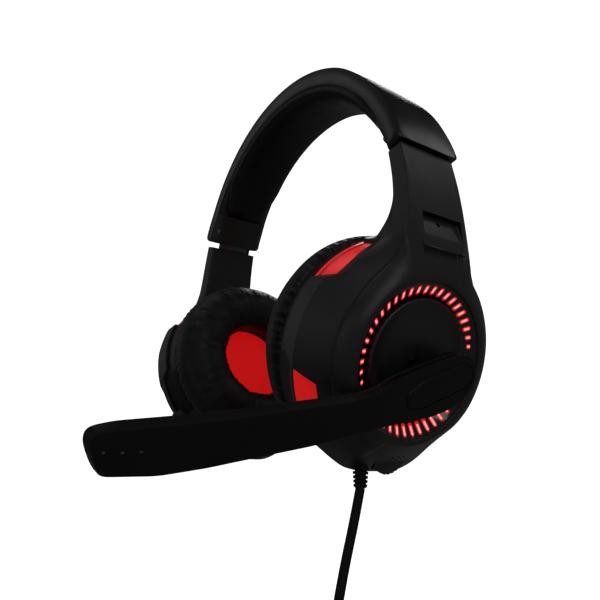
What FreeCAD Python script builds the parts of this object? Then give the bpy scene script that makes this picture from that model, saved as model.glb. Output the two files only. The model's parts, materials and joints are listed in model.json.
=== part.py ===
import FreeCAD, Part
import math
import os
import re
import Sketcher

# Over-ear gaming headset with a swinging boom microphone and lit ear cups.
# Row frame, millimetres: +X is the wearer's left, -Y is the front, +Z is up.
# The origin is the underside of the crown pad, where a head or a stand carries the headset.
# A cup frame has its origin on the cushion's face, +X out of the ear, -Y to the front, +Z up.

Vector = FreeCAD.Vector
Rotation = FreeCAD.Rotation
Placement = FreeCAD.Placement

DIMENSIONS = [
    # headband: concentric arcs about one centre
    ("band_r", 93, "outer radius of the headband arch"),
    ("band_w", 35, "width of the headband, front to back"),
    ("band_skin", 1.8, "wall of the headband shell"),
    ("band_deep", 7, "depth of the headband shell's channel"),
    ("crown", 15, "band's outer face down to the crown pad's underside"),
    ("end_angle", 16, "angle of each band end above the arch's centre"),
    ("liner_angle", 26.5, "angle where the liner and the guides meet"),
    ("liner_thick", 1.8, "thickness of the headband liner"),
    ("pad_angle", 29, "angle of the crown pad's ends"),
    ("pad_w", 29, "width of the crown pad"),
    ("spring_w", 18, "width of the steel band spring"),
    ("spring_angle", 35, "angle of the spring's ends"),
    # slider strips and guides
    ("strip_w", 22, "width of a slider strip"),
    ("strip_thick", 1.8, "thickness of a slider strip"),
    ("strip_up", 26, "strip length inside the band with the slider closed"),
    ("strip_down", 21, "strip length inside the arm"),
    ("strip_deep", 5.6, "band's outer face in to the strip"),
    ("slide_play", 0.1, "clearance round a strip in its guide"),
    ("guide_deep", 10, "thickness of a band end"),
    ("right_out", 3, "how far the right slider stands out at rest"),
    # arms
    ("arm_bow", 176, "bow radius of an arm's outer face"),
    ("arm_deep", 7.7, "depth of an arm's shell"),
    ("arm_front", 17, "arm's front edge in front of the middle"),
    ("arm_rear", 15, "arm's rear edge behind the middle, at the top"),
    ("arm_gap", 0.3, "gap between a band end and a closed arm"),
    ("scoop_top", -83, "height of the thumb scoop's top edge"),
    ("scoop_long", 22, "length of the thumb scoop"),
    ("scoop_floor", 94, "scoop's floor at its top edge, out from the middle of the head"),
    ("scoop_lean", 6.5, "lean of the scoop's floor, its foot outward"),
    ("wall", 2.2, "wall of the moulded shells"),
    # cups
    ("ear_half", 36, "middle of the head to a cushion's face"),
    ("ear_drop", 127, "crown pad's underside down to the ear's centre"),
    ("tilt", 17, "splay of a cup, its top outward"),
    ("cushion_r", 48, "outer radius of an ear cushion"),
    ("cushion_hole", 20.5, "radius of a cushion's ear hole"),
    ("cushion_deep", 18.5, "thickness of an ear cushion"),
    ("rim_r", 50, "largest radius of a cup's shell"),
    ("rim_near", 27, "shell's inner edge, from the cushion's face"),
    ("rim_far", 34.5, "where the shell's rim turns into the dome"),
    ("shoulder_r", 41.5, "radius of the dome's seam"),
    ("shoulder_x", 46, "dome's seam, from the cushion's face"),
    ("lip_r", 37.2, "outer radius of the lip round the lights"),
    ("lip_x", 51.5, "lip round the lights, from the cushion's face"),
    ("well_r", 32, "radius of the well that holds the lights"),
    ("collar_r", 45.6, "outer radius of the shell's collar in the notch"),
    ("cavity_r", 43.9, "radius of the shell's cavity"),
    ("housing_r", 42, "outer radius of the cup housing's wall"),
    ("baffle_x", 21.6, "driver baffle, from the cushion's face"),
    ("driver_r", 20, "radius of a driver's basket"),
    ("screw_r", 30, "distance of a cup's screws from its axis"),
    # lights
    ("slots", 45, "light slots in a full circle"),
    ("slot_wide", 2.3, "width of a light slot"),
    ("slot_long", 5.4, "length of the longest light slot"),
    ("light_r", 28.8, "mean radius of the light slots"),
    # boom
    ("boom_len", 126, "boom's tip in front of its pivot"),
    ("boom_thick", 6.6, "thickness of the boom"),
    ("boom_x", 52.6, "boom's inner face, from the cushion's face"),
    ("hub_r", 25.3, "radius of the boom's hub dish"),
    ("shaft_r", 4, "radius of the boom's pivot shaft"),
    ("shaft_play", 0.05, "radial clearance of the boom's pivot shaft"),
    # volume wheel, cable
    ("wheel_r", 9.2, "radius of the volume wheel"),
    ("wheel_y", 5, "volume wheel's centre behind the cup's middle"),
    ("wheel_z", -41.5, "volume wheel's centre, from the ear's centre"),
    ("wheel_thick", 3, "thickness of the volume wheel"),
    ("cable_d", 4, "diameter of the cable"),
    ("cable_x", 55, "cable's place, out from the middle of the head"),
    ("cable_y", -5.5, "cable's place, front to back"),
    ("relief_top", -180, "top of the strain relief"),
    ("relief_end", -192.5, "end of the strain relief"),
    ("coil_r", 22, "mean radius of the put-away coil"),
    ("coil_half", 9, "half the depth of the coil's bundle"),
    ("plug_y", 33.8, "plug's place, front to back"),
    ("plug_top", -334, "top of the plug"),
    ("coil_y", 9, "coil's middle, front to back"),
    ("coil_z", -276, "coil's middle, up and down"),
]

doc = FreeCAD.newDocument("gaming_headset")
dims = doc.addObject("Spreadsheet::Sheet", "dims")
for row, (alias, value, meaning) in enumerate(DIMENSIONS, start=1):
    dims.set("A%d" % row, meaning)
    dims.set("B%d" % row, str(value))
    dims.setAlias("B%d" % row, alias)
doc.recompute()

ALIASES = {alias for alias, value, meaning in DIMENSIONS}
NODES = {}


def full(text):
    """An expression with every dimension's alias written as dims.alias."""
    def name(match):
        word = match.group()
        return "dims." + word if word in ALIASES else word
    return re.sub(r"[a-z_]+", name, str(text))


def value(text):
    return float(dims.evalExpression(full(text)))


def bind(thing, **sizes):
    for prop, text in sizes.items():
        thing.setExpression(prop, full(text))
    return thing


def bind_place(thing, x="0", y="0", z="0", axis=None, angle="0"):
    """Place a thing, with its position and its turn bound to the dimensions."""
    turn = Rotation(axis, value(angle)) if axis else thing.Placement.Rotation
    thing.Placement = Placement(Vector(value(x), value(y), value(z)), turn)
    for letter, text in (("x", x), ("y", y), ("z", z)):
        thing.setExpression("Placement.Base." + letter, full(text))
    if axis:
        thing.setExpression("Placement.Rotation.Angle", full(angle))
    return thing


# ---------------------------------------------------------------- building blocks

ALONG = {"X": Rotation(Vector(0, 1, 0), 90), "Y": Rotation(Vector(1, 0, 0), -90), "Z": Rotation()}


def rod(name, radius, start, end, axis="X", at=("0", "0")):
    """A cylinder along an axis, from start to end, with its centre line at the given pair."""
    thing = bind(doc.addObject("Part::Cylinder", name), Radius=radius, Height="(%s)-(%s)" % (end, start))
    thing.Placement.Rotation = ALONG[axis]
    places = {"X": (start, at[0], at[1]), "Y": (at[0], start, at[1]), "Z": (at[0], at[1], start)}
    return bind_place(thing, *places[axis])


def block(name, x, y, z):
    """A box from three pairs of expressions."""
    thing = doc.addObject("Part::Box", name)
    for prop, (low, high) in zip(("Length", "Width", "Height"), (x, y, z)):
        thing.setExpression(prop, full("(%s)-(%s)" % (high, low)))
    return bind_place(thing, x[0], y[0], z[0])


def cut(name, base, tool):
    thing = doc.addObject("Part::Cut", name)
    thing.Base = base
    thing.Tool = tool
    return thing


def fuse(name, *pieces):
    thing = doc.addObject("Part::MultiFuse", name)
    thing.Shapes = list(pieces)
    return thing


def common(name, *pieces):
    thing = doc.addObject("Part::MultiCommon", name)
    thing.Shapes = list(pieces)
    return thing


def tube(name, outer, inner, start, end, axis="X", at=("0", "0")):
    hole = rod(name + "_hole", inner, "(%s)-1" % start, "(%s)+1" % end, axis, at)
    return cut(name, rod(name + "_blank", outer, start, end, axis, at), hole)


def profile(body, plane, points):
    """A closed sketch of straight lines, each corner bound to its pair of expressions."""
    sketch = body.newObject("Sketcher::SketchObject", body.Name + "_profile")
    support = [item for item in body.Origin.OriginFeatures if item.Role == plane][0]
    sketch.AttachmentSupport = [(support, "")]
    sketch.MapMode = "FlatFace"
    corners = [Vector(value(across), value(up), 0) for across, up in points]
    for corner, following in zip(corners, corners[1:] + corners[:1]):
        sketch.addGeometry(Part.LineSegment(corner, following), False)
    for index, pair in enumerate(points):
        sketch.addConstraint(Sketcher.Constraint("Coincident", index, 2, (index + 1) % len(points), 1))
        for kind, text in zip(("DistanceX", "DistanceY"), pair):
            place = sketch.addConstraint(Sketcher.Constraint(kind, index, 1, value(text)))
            sketch.setExpression("Constraints[%d]" % place, full(text))
    return sketch


def turned(name, points):
    """A body turned about the cup's axis from (distance along, radius) corners."""
    body = doc.addObject("PartDesign::Body", name)
    sketch = profile(body, "XZ_Plane", points)
    turn = body.newObject("PartDesign::Revolution", name + "_turn")
    turn.Profile = sketch
    turn.ReferenceAxis = (sketch, ["H_Axis"])
    turn.Angle = 360
    return body


def prism(name, points, start, end):
    """A body with a (Y, Z) outline, drawn out along X from start to end."""
    body = doc.addObject("PartDesign::Body", name)
    sketch = profile(body, "YZ_Plane", points)
    offset = sketch.AttachmentOffset
    offset.Base = Vector(0, 0, value(start))
    sketch.AttachmentOffset = offset
    sketch.setExpression("AttachmentOffset.Base.z", full(start))
    pad = body.newObject("PartDesign::Pad", name + "_pad")
    pad.Profile = sketch
    pad.setExpression("Length", full("(%s)-(%s)" % (end, start)))
    return body


def group(name, things):
    thing = doc.addObject("Part::Compound", name)
    thing.Links = list(things)
    return thing


def carried(thing):
    """A thing that may be moved as a whole: a plain box or cylinder is wrapped first."""
    placed = thing.TypeId in ("Part::Box", "Part::Cylinder")
    return group(thing.Name + "_whole", [thing]) if placed else thing


def in_cup(thing):
    """Move a thing from the left cup's frame to the row frame."""
    return bind_place(carried(thing), "ear_half", "0", "-ear_drop", Vector(0, 1, 0), "tilt")


END_X = "band_r*cos(end_angle)"
END_Z = "crown-band_r+band_r*sin(end_angle)"


def in_slide(thing, slide="0"):
    """Move a thing from the left slider's frame, whose +Z runs up the band, to the row frame."""
    down_x = "%s+(%s)*sin(end_angle)" % (END_X, slide)
    down_z = "%s-(%s)*cos(end_angle)" % (END_Z, slide)
    return bind_place(carried(thing), down_x, "0", down_z, Vector(0, -1, 0), "end_angle")


def spun(thing, degrees):
    """Turn a box of the cup's frame about the cup's axis, from the top towards the front."""
    for letter in "xyz":
        thing.setExpression("Placement.Base." + letter, None)
    thing.Placement = Placement(Vector(), Rotation(Vector(1, 0, 0), degrees)).multiply(thing.Placement)
    return thing


def node(name, thing):
    thing.Label = name
    NODES[name] = thing
    return thing


def mirrored(name, source, drop=True):
    """The right-hand twin of a left-hand piece, slid out as far as the right slider stands."""
    twin = doc.addObject("Part::Mirroring", name + "_twin")
    twin.Source = source
    twin.Normal = Vector(1, 0, 0)
    if drop:
        bind_place(twin, "-right_out*sin(end_angle)", "0", "-right_out*cos(end_angle)")
    return node(name, twin)


# ---------------------------------------------------------------- headband

def arc_piece(name, outer, inner, width, start, end):
    """A piece of an arch about the headband's centre, between two angles from the wearer's left."""
    blank = bind(doc.addObject("Part::Cylinder", name + "_blank"), Radius=outer, Height=width)
    blank.setExpression("Angle", full("(%s)-(%s)" % (end, start)))
    core = bind(doc.addObject("Part::Cylinder", name + "_core"), Radius=inner, Height="(%s)+2" % width)
    bind_place(core, z="-1")
    thing = cut(name, blank, core)
    turn = Rotation(Vector(1, 0, 0), 90).multiply(Rotation(Vector(0, 0, 1), value(start)))
    thing.Placement.Rotation = turn
    return bind_place(thing, y="(%s)/2" % width, z="crown-band_r")


def arch(name, outer, inner, width, start):
    return arc_piece(name, outer, inner, width, start, "180-(%s)" % start)


def radial_rod(name, radius, low, high, angle, across="0"):
    """A rod pointing out from the headband's centre, at an angle from the wearer's left."""
    rod_piece = bind(doc.addObject("Part::Cylinder", name), Radius=radius,
                     Height="(%s)-(%s)" % (high, low))
    turn = math.radians(angle)
    out = value(low)
    base = Vector(out * math.cos(turn), value(across), value("crown-band_r") + out * math.sin(turn))
    rod_piece.Placement = Placement(base, Rotation(Vector(0, 1, 0), 90 - angle))
    return rod_piece


def headband():
    channel = rod("channel", "band_r-band_skin", "-(band_w/2-band_skin)", "band_w/2-band_skin", "Y",
                  ("0", "crown-band_r"))
    shell = arch("shell_blank", "band_r", "band_r-band_deep", "band_w", "end_angle")
    node("headband_shell", cut("headband_shell", shell, channel))
    liner_r = "band_r-band_deep-0.1"
    node("headband_liner", arch("headband_liner", liner_r, liner_r + "-liner_thick", "band_w",
                                "liner_angle+0.3"))
    node("headband_pad", arch("headband_pad", "band_r-band_deep-liner_thick-0.4", "band_r-crown",
                              "pad_w", "pad_angle"))
    node("band_spring", arch("band_spring", "band_r-3.6", "band_r-4.4", "spring_w", "spring_angle"))
    rivets = [radial_rod("rivet_%d" % angle, "2.2", "band_r-band_deep", "band_r-4.6", angle)
              for angle in (38, 90, 142)]
    node("band_rivets", group("band_rivets", rivets))


SCREW_ACROSS = ("-13.6", "13.6")


def slider_guide():
    """The closed end of the band, with the slot that the slider strip runs in."""
    core = arc_piece("guide_core", "band_r-band_skin-0.1", "band_r-band_deep-0.5",
                     "band_w-2*band_skin-0.2", "end_angle", "liner_angle")
    cap = arc_piece("guide_cap", "band_r-band_deep-0.1", "band_r-guide_deep", "band_w", "end_angle",
                    "liner_angle")
    slot = block("guide_slot", ("-strip_deep-strip_thick-slide_play", "-strip_deep+slide_play"),
                 ("-strip_w/2-slide_play", "strip_w/2+slide_play"), ("-5", "strip_up+5"))
    holes = []
    screws = []
    for across in SCREW_ACROSS:
        holes.append(radial_rod("guide_bore" + across[:1], "1.05", "band_r-12", "band_r-4", 21, across))
        holes.append(radial_rod("guide_sink" + across[:1], "2.1", "band_r-12", "band_r-8.6", 21, across))
        shank = radial_rod("guide_shank" + across[:1], "1", "band_r-9.6", "band_r-4.1", 21, across)
        head = radial_rod("guide_head" + across[:1], "2", "band_r-9.7", "band_r-8.7", 21, across)
        screws.append(fuse("guide_screw" + across[:1], shank, head))
    body = cut("left_guide", fuse("guide_body", core, cap), fuse("guide_tools", in_slide(slot), *holes))
    node("left_slider_guide", body)
    mirrored("right_slider_guide", body, drop=False)
    left_screws = group("guide_screws", screws)
    right_screws = doc.addObject("Part::Mirroring", "guide_screws_twin")
    right_screws.Source = left_screws
    right_screws.Normal = Vector(1, 0, 0)
    node("guide_screws", group("all_guide_screws", [left_screws, right_screws]))


STRIP_SCREWS = (("-7", "-15"), ("7", "-15"))


def slider_strip():
    blank = block("strip_blank", ("-strip_deep-strip_thick", "-strip_deep"),
                  ("-strip_w/2", "strip_w/2"), ("-strip_down", "strip_up"))
    holes = []
    screws = []
    for index, at in enumerate(STRIP_SCREWS):
        holes.append(rod("strip_hole_%d" % index, "1.3", "-9", "-3", "X", at))
        shank = rod("strip_shank_%d" % index, "1.25", "-7.6", "-3.4", "X", at)
        head = rod("strip_head_%d" % index, "2.4", "-8.7", "-7.45", "X", at)
        screws.append(fuse("strip_screw_%d" % index, shank, head))
    strip = node("left_slider", in_slide(cut("left_strip", blank, fuse("strip_holes", *holes))))
    mirrored("right_slider", strip)
    left_screws = node("left_slider_screws", in_slide(group("strip_screws", screws)))
    mirrored("right_slider_screws", left_screws)


# ---------------------------------------------------------------- arm and cup shell

SCREW_TURNS = (45, 135, 225, 315)


def arm_outline(inset):
    """The arm's (Y, Z) outline, as wide as the band at the top and spreading into the cup."""
    front = "-arm_front+" + inset
    rear = "arm_rear-" + inset
    return [
        (front, "-40"), (front, "-84"), (front + "-2", "-93"), (front + "-5", "-98.5"),
        (front + "-10", "-103.5"), (front + "-11", "-107"), ("-20", "-119"), ("20", "-119"),
        (rear + "+7.5", "-109"), (rear + "+5", "-99"), (rear + "+3", "-87"), (rear + "+1", "-74"),
        (rear, "-62"), (rear, "-40"),
    ]


def screw_place(turn):
    """Where a cup screw stands, in the cup's frame."""
    return ("screw_r*cos(%d)" % turn, "screw_r*sin(%d)" % turn)


def bowed(name, outer, inner, width):
    """A slab between two bowed faces, concentric with the arm's outer face."""
    turn_x = END_X + "-arm_bow*cos(end_angle)"
    turn_z = END_Z + "-arm_bow*sin(end_angle)"
    return tube(name, outer, inner, "-(%s)/2" % width, "(%s)/2" % width, "Y", (turn_x, turn_z))


def above_arm(name):
    return in_slide(block(name, ("-30", "30"), ("-60", "60"), ("-arm_gap", "60")))


def wheel_pocket(name):
    return block(name, ("30", "41.5"), ("-4.8", "15"), ("-53", "-30"))


def outer_shell(name, with_wheel):
    """One moulded piece: the arm, the cup's dome and the collar inside the front notch."""
    slab = bowed(name + "_slab", "arm_bow", "arm_bow-arm_deep", "90")
    blank = common(name + "_side", slab, prism(name + "_outline", arm_outline("0"), "70", "120"))
    lip = in_cup(rod(name + "_lip", "lip_r-1", "30", "60"))
    proud = in_cup(block(name + "_proud", ("lip_x+0.2", "lip_x+30"), ("-60", "60"), ("0", "80")))
    arm = cut(name + "_arm", blank, fuse(name + "_ends", above_arm(name + "_top"), lip, proud))
    drum = turned(name + "_dome", [
        ("rim_near", "0"), ("rim_near", "rim_r-0.6"), ("rim_near+2.5", "rim_r"), ("rim_far", "rim_r"),
        ("rim_far+2.5", "rim_r-1.5"), ("shoulder_x", "shoulder_r"), ("lip_x-0.7", "lip_r+0.3"),
        ("lip_x", "lip_r-0.7"), ("lip_x", "0")])
    chin = prism(name + "_chin", [("-16", "-40"), ("-13", "-51.6"), ("12", "-52.6"), ("17", "-50"),
                                  ("20", "-40")], "29", "36")
    body = fuse(name + "_body", arm, in_cup(drum), in_cup(chin))
    # the arm's hollow opens towards the head and stops short of the drum
    hollow_blank = common(name + "_hollow_blank", bowed(name + "_inner", "arm_bow-wall",
                                                        "arm_bow-arm_deep-9", "80"),
                          prism(name + "_inset", arm_outline("wall"), "70", "120"))
    hollow = cut(name + "_hollow", hollow_blank, in_cup(rod(name + "_stop", "rim_r-1.5", "20", "60")))
    pieces = [
        rod(name + "_cavity", "cavity_r", "rim_near-2", "40.8"),
        rod(name + "_well", "well_r", "43", "60"),
        cut(name + "_notch", block(name + "_notch_block", ("20", "41"), ("-60", "-20"), ("27", "60")),
            rod(name + "_collar", "collar_r", "10", "50")),
        block(name + "_edge", ("20", "31"), ("-60", "-20"), ("27", "60")),
        block(name + "_window", ("33.5", "41.8"), ("-60", "-36"), ("-22", "-11.5")),
    ]
    for turn in SCREW_TURNS:
        pieces.append(rod("%s_pilot_%d" % (name, turn), "1.27", "40", "42.5", "X", screw_place(turn)))
    tools = [hollow, scoop(name)]
    if with_wheel:
        pieces.append(rod(name + "_bore", "shaft_r+shaft_play", "30", "60"))
        pieces.append(rod(name + "_wheel_slot", "wheel_r+0.4", "36.3", "40.3", "X", ("wheel_y", "wheel_z")))
        tools.append(rod(name + "_gland", "3.3", "relief_end-5", "relief_top+6", "Z", ("cable_x", "cable_y")))
    shell = cut(name + "_hollowed", body, fuse(name + "_tools", in_cup(fuse(name + "_drum_tools", *pieces)),
                                               *tools))
    bosses = []
    for index, at in enumerate(STRIP_SCREWS):
        boss = tube("%s_boss_%d" % (name, index), "3", "1.27", "-5.4", "-1.6", "X", at)
        bosses.append(boss)
    return fuse(name, shell, in_slide(group(name + "_bosses", bosses)))


def scoop(name):
    """The thumb scoop in the arm's outer face, deepest at its top edge."""
    wedge = block(name + "_wedge", ("0", "6"), ("-8", "14"), ("-scoop_long", "0"))
    return bind_place(carried(wedge), "scoop_floor", "0", "scoop_top", Vector(0, -1, 0), "scoop_lean")


def arm_cover():
    """The skin that closes the arm towards the head, with holes for the strip's screw heads."""
    slab = bowed("cover_slab", "arm_bow-arm_deep-0.1", "arm_bow-arm_deep-1.7", "90")
    blank = common("cover_blank", slab, prism("cover_side", arm_outline("0"), "70", "120"))
    heads = [rod("cover_hole_%d" % index, "2.7", "-12", "-6", "X", at)
             for index, at in enumerate(STRIP_SCREWS)]
    tools = [above_arm("cover_top"), in_cup(rod("cover_drum", "rim_r+0.4", "10", "70"))]
    tools.append(in_slide(group("cover_holes", heads)))
    left = node("left_arm_cover", cut("left_cover", blank, fuse("cover_tools", *tools)))
    mirrored("right_arm_cover", left)


# ---------------------------------------------------------------- inside the cups

def cup_housing(name, with_wheel):
    """The inner tub that carries the driver, with a flange for the cushion."""
    flange = tube(name + "_flange", "rim_r-3.5", "housing_r", "21", "26.7")
    notch = block(name + "_notch", ("22.4", "30"), ("-60", "-20"), ("27", "60"))
    wall = tube(name + "_wall", "housing_r", "housing_r-2", "21", "40.6")
    plate = tube(name + "_plate", "housing_r", "12", "39", "40.6")
    holes = [rod("%s_hole_%d" % (name, turn), "1.3", "38", "42", "X", screw_place(turn))
             for turn in SCREW_TURNS]
    body = fuse(name + "_body", cut(name + "_cut_flange", flange, notch), wall, plate)
    if with_wheel:
        holes.append(wheel_pocket(name + "_pocket"))
    return in_cup(cut(name, body, fuse(name + "_holes", *holes)))


def accent_ring(name, with_wheel):
    """The coloured barrel that shows through the shell's notch and window."""
    barrel = tube(name + "_barrel", "cavity_r-0.2", "housing_r+0.2", "26.9", "40.6")
    lip = common(name + "_lip", tube(name + "_lip_ring", "cavity_r-0.2", "housing_r+0.2", "22.6", "26.9"),
                 block(name + "_lip_box", ("20", "30"), ("-60", "-20.3"), ("27.3", "60")))
    pane = common(name + "_pane", tube(name + "_pane_ring", "rim_r-3.4", "cavity_r-1", "33.9", "40.6"),
                  block(name + "_pane_box", ("33.9", "40.6"), ("-60", "-30"), ("-21.6", "-11.9")))
    body = fuse(name + "_all", barrel, lip, pane)
    if with_wheel:
        body = cut(name + "_cut", body, wheel_pocket(name + "_pocket"))
    return in_cup(body)


def cup_inside():
    cushion = turned("left_cushion_body", [
        ("0", "cushion_hole+6.5"), ("0", "cushion_r-7"), ("4", "cushion_r-1.5"), ("9", "cushion_r"),
        ("15", "cushion_r-0.5"), ("cushion_deep", "cushion_r-3"), ("cushion_deep", "cushion_hole+2.5"),
        ("12", "cushion_hole"), ("4", "cushion_hole+1")])
    vents = [rod("vent_%d" % turn, "3", "20", "25", "X", ("29*cos(%d)" % turn, "29*sin(%d)" % turn))
             for turn in range(0, 360, 45)]
    baffle = cut("left_baffle", rod("baffle_disc", "housing_r-2.1", "baffle_x", "baffle_x+2.2"),
                 fuse("baffle_holes", rod("baffle_hole", "driver_r-3", "20", "25"), *vents))
    basket = cut("left_basket", rod("basket_can", "driver_r", "baffle_x+2.3", "31"),
                 rod("basket_hollow", "driver_r-1.1", "20", "30"))
    screws = []
    for turn in SCREW_TURNS:
        shank = rod("cup_shank_%d" % turn, "1.25", "38", "42.4", "X", screw_place(turn))
        head = rod("cup_head_%d" % turn, "2.4", "37.6", "38.9", "X", screw_place(turn))
        screws.append(fuse("cup_screw_%d" % turn, shank, head))
    pieces = {
        "cushion": cushion,
        "cushion_plate": tube("left_plate", "rim_r-4.5", "cushion_hole+2.5", "cushion_deep+0.3", "20.6"),
        "speaker_cloth": rod("left_cloth", "34", "20.8", "baffle_x-0.2"),
        "baffle": baffle,
        "driver_basket": basket,
        "driver_magnet": rod("left_magnet", "9", "31.1", "37"),
        "driver_diaphragm": rod("left_diaphragm", "driver_r-1.5", "baffle_x+2.9", "baffle_x+3.9"),
        "housing_screws": group("left_cup_screws", screws),
    }
    for name, thing in pieces.items():
        left = node("left_" + name, in_cup(thing))
        mirrored("right_" + name, left)
    board = block("control_board_blank", ("33", "34.4"), ("12", "33"), ("-18", "18"))
    node("left_control_board", in_cup(board))


# ---------------------------------------------------------------- lights

def slot_turns():
    """Each light slot's angle from the rear upwards, with its share of the full length."""
    turns = []
    for first, count in ((18, 24), (247, 11)):
        for index in range(count):
            from_end = min(index, count - 1 - index)
            turns.append((first + index * value("360/slots"), min(1.0, 0.45 + 0.2 * from_end)))
    return turns


def lights():
    blank = turned("bezel_blank", [("45.6", "hub_r+0.6"), ("47", "hub_r+0.6"), ("50.5", "well_r-0.3"),
                                   ("45.6", "well_r-0.3")])
    cuts = []
    bars = []
    for index, (turn, share) in enumerate(slot_turns()):
        low = "light_r-slot_long*%.2f/2" % share
        high = "light_r+slot_long*%.2f/2" % share
        slot = block("slot_%d" % index, ("45", "52"), ("-slot_wide/2", "slot_wide/2"), (low, high))
        cuts.append(spun(slot, turn - 90))
        bar = block("bar_%d" % index, ("45.2", "46.9"), ("-slot_wide/2+0.1", "slot_wide/2-0.1"),
                    (low + "+0.1", high + "-0.1"))
        bars.append(spun(bar, turn - 90))
    bezel = in_cup(cut("left_bezel", blank, fuse("bezel_slots", *cuts)))
    node("left_ring_bezel", bezel)
    mirrored("right_ring_bezel", bezel)
    ring = tube("light_base", "well_r-0.3", "hub_r+0.6", "44.6", "45.4")
    light = in_cup(fuse("left_light", ring, *bars))
    node("left_light_guide", light)
    mirrored("right_light_guide", light)
    board = in_cup(tube("left_lights_board", "well_r-0.5", "9", "43.2", "44.4"))
    node("left_light_board", board)
    mirrored("right_light_board", board)


# ---------------------------------------------------------------- boom microphone

BOOM = [
    ("22", "2"), ("19", "6"), ("11.5", "7"), ("-4", "1"), ("-19.9", "-5.6"), ("-27.3", "-10.6"),
    ("-36", "-12.8"), ("-53.9", "-15.8"), ("-81", "-20.5"), ("-102", "-23.5"), ("-boom_len+8", "-25.5"),
    ("-boom_len", "-27.9"), ("-boom_len-0.6", "-32"), ("-boom_len+3", "-38.6"), ("-boom_len+6", "-40.6"),
    ("-103.5", "-40.6"), ("-88.6", "-38.4"), ("-71.4", "-35"), ("-51.2", "-31.1"), ("-22.6", "-24"),
    ("2.7", "-19.7"), ("14", "-15.5"), ("21", "-9.5"), ("24", "-3"),
]
BOOM_HOLLOW = [("-20", "-9"), ("-30", "-14"), ("-110", "-27.5"), ("-122", "-29.8"), ("-122", "-36"),
               ("-104", "-37"), ("-71", "-31.5"), ("-20", "-20")]
BOOM_PLATE = [("-11", "-17"), ("-12.6", "-11.5"), ("-5.8", "-6"), ("15", "3"), ("20.6", "1"), ("21.5", "-3"),
              ("19", "-6.5"), ("-3.8", "-16.6")]


def dish(name, back):
    """The dished disc inside the lights: the boom's hub on the left, a plain cap on the right."""
    return turned(name, [(back, "0"), (back, "hub_r"), ("49.2", "hub_r"), ("50", "hub_r-0.8"),
                         ("49.2", "hub_r-3"), ("48.6", "15"), ("48.6", "0")])


def boom():
    hub_turn = dish("boom_hub_blank", "45.7")
    blind = rod("hub_bore", "shaft_r+0.02", "40", "48")
    node("boom_hub", in_cup(cut("boom_hub_body", hub_turn, blind)))
    shaft = tube("boom_shaft_body", "shaft_r", "1.5", "37", "47.9")
    node("boom_shaft", in_cup(shaft))
    node("boom_clip", in_cup(tube("boom_clip_body", "6.8", "shaft_r+0.02", "38.7", "40.6")))
    middle = "boom_x+boom_thick/2"
    neck = rod("boom_neck", "13", "48.7", "boom_x+1")
    hollow = prism("boom_hollow_low", BOOM_HOLLOW, "boom_x+1.4", "boom_x+boom_thick")
    back = cut("boom_back_body", fuse("boom_back_all", prism("boom_back_blank", BOOM, "boom_x",
                                                             middle + "-0.05"), neck), hollow)
    node("boom_back", in_cup(back))
    top = "boom_x+boom_thick"
    hollow = prism("boom_hollow_high", BOOM_HOLLOW, "boom_x", top + "-1.4")
    recess = prism("boom_recess", BOOM_PLATE, top + "-0.5", top + "+2")
    ports = [rod("mic_port_%d" % index, "0.6", top + "-3", top + "+1", "X", at)
             for index, at in enumerate((("-120.6", "-34.4"), ("-116", "-34.4"), ("-111.4", "-34.2")))]
    front = cut("boom_front_body", prism("boom_front_blank", BOOM, middle + "+0.05", top),
                fuse("boom_front_tools", hollow, recess, *ports))
    node("boom_front", in_cup(front))
    plate = prism("boom_plate_body", BOOM_PLATE, top + "-0.4", top + "+0.3")
    node("boom_plate", in_cup(plate))
    capsule = ("-116", "-32.6")
    node("mic_capsule", in_cup(rod("mic_capsule_body", "3", "boom_x+1.5", top + "-2.3", "X", capsule)))


# ---------------------------------------------------------------- volume wheel and cable

def volume_wheel():
    at = ("wheel_y", "wheel_z")
    disc = rod("wheel_disc", "wheel_r", "36.8", "36.8+wheel_thick", "X", at)
    grooves = []
    for index in range(24):
        turn = 15 * index
        groove_at = ("wheel_y+(wheel_r+0.5)*cos(%d)" % turn, "wheel_z+(wheel_r+0.5)*sin(%d)" % turn)
        grooves.append(rod("groove_%d" % index, "0.8", "36", "41", "X", groove_at))
    shaft = rod("wheel_shaft", "1.5", "31", "37", "X", at)
    wheel = fuse("wheel_all", cut("wheel_ribbed", disc, fuse("grooves", *grooves)), shaft)
    node("volume_wheel", in_cup(wheel))
    case = block("pot_case", ("30.6", "36"), ("wheel_y-4.5", "wheel_y+4.5"), ("wheel_z-1", "wheel_z+9"))
    pot = cut("pot", case, rod("pot_bore", "1.55", "30.9", "40", "X", at))
    node("volume_control", in_cup(pot))


LEAD = [(55, -5.5, -192.5), (55, -6.8, -203.5), (55, -11.5, -223), (55, -16.8, -243), (55, -19, -263)]
TAIL = [(55, 9, -304), (55, 21, -305.5), (55, 29.5, -312.5), (55, 33, -323.5), (55, 33.8, -334)]
# the part of the shorter run beside a corner that the corner's arc takes
ARC_SHARE = 0.45


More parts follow.
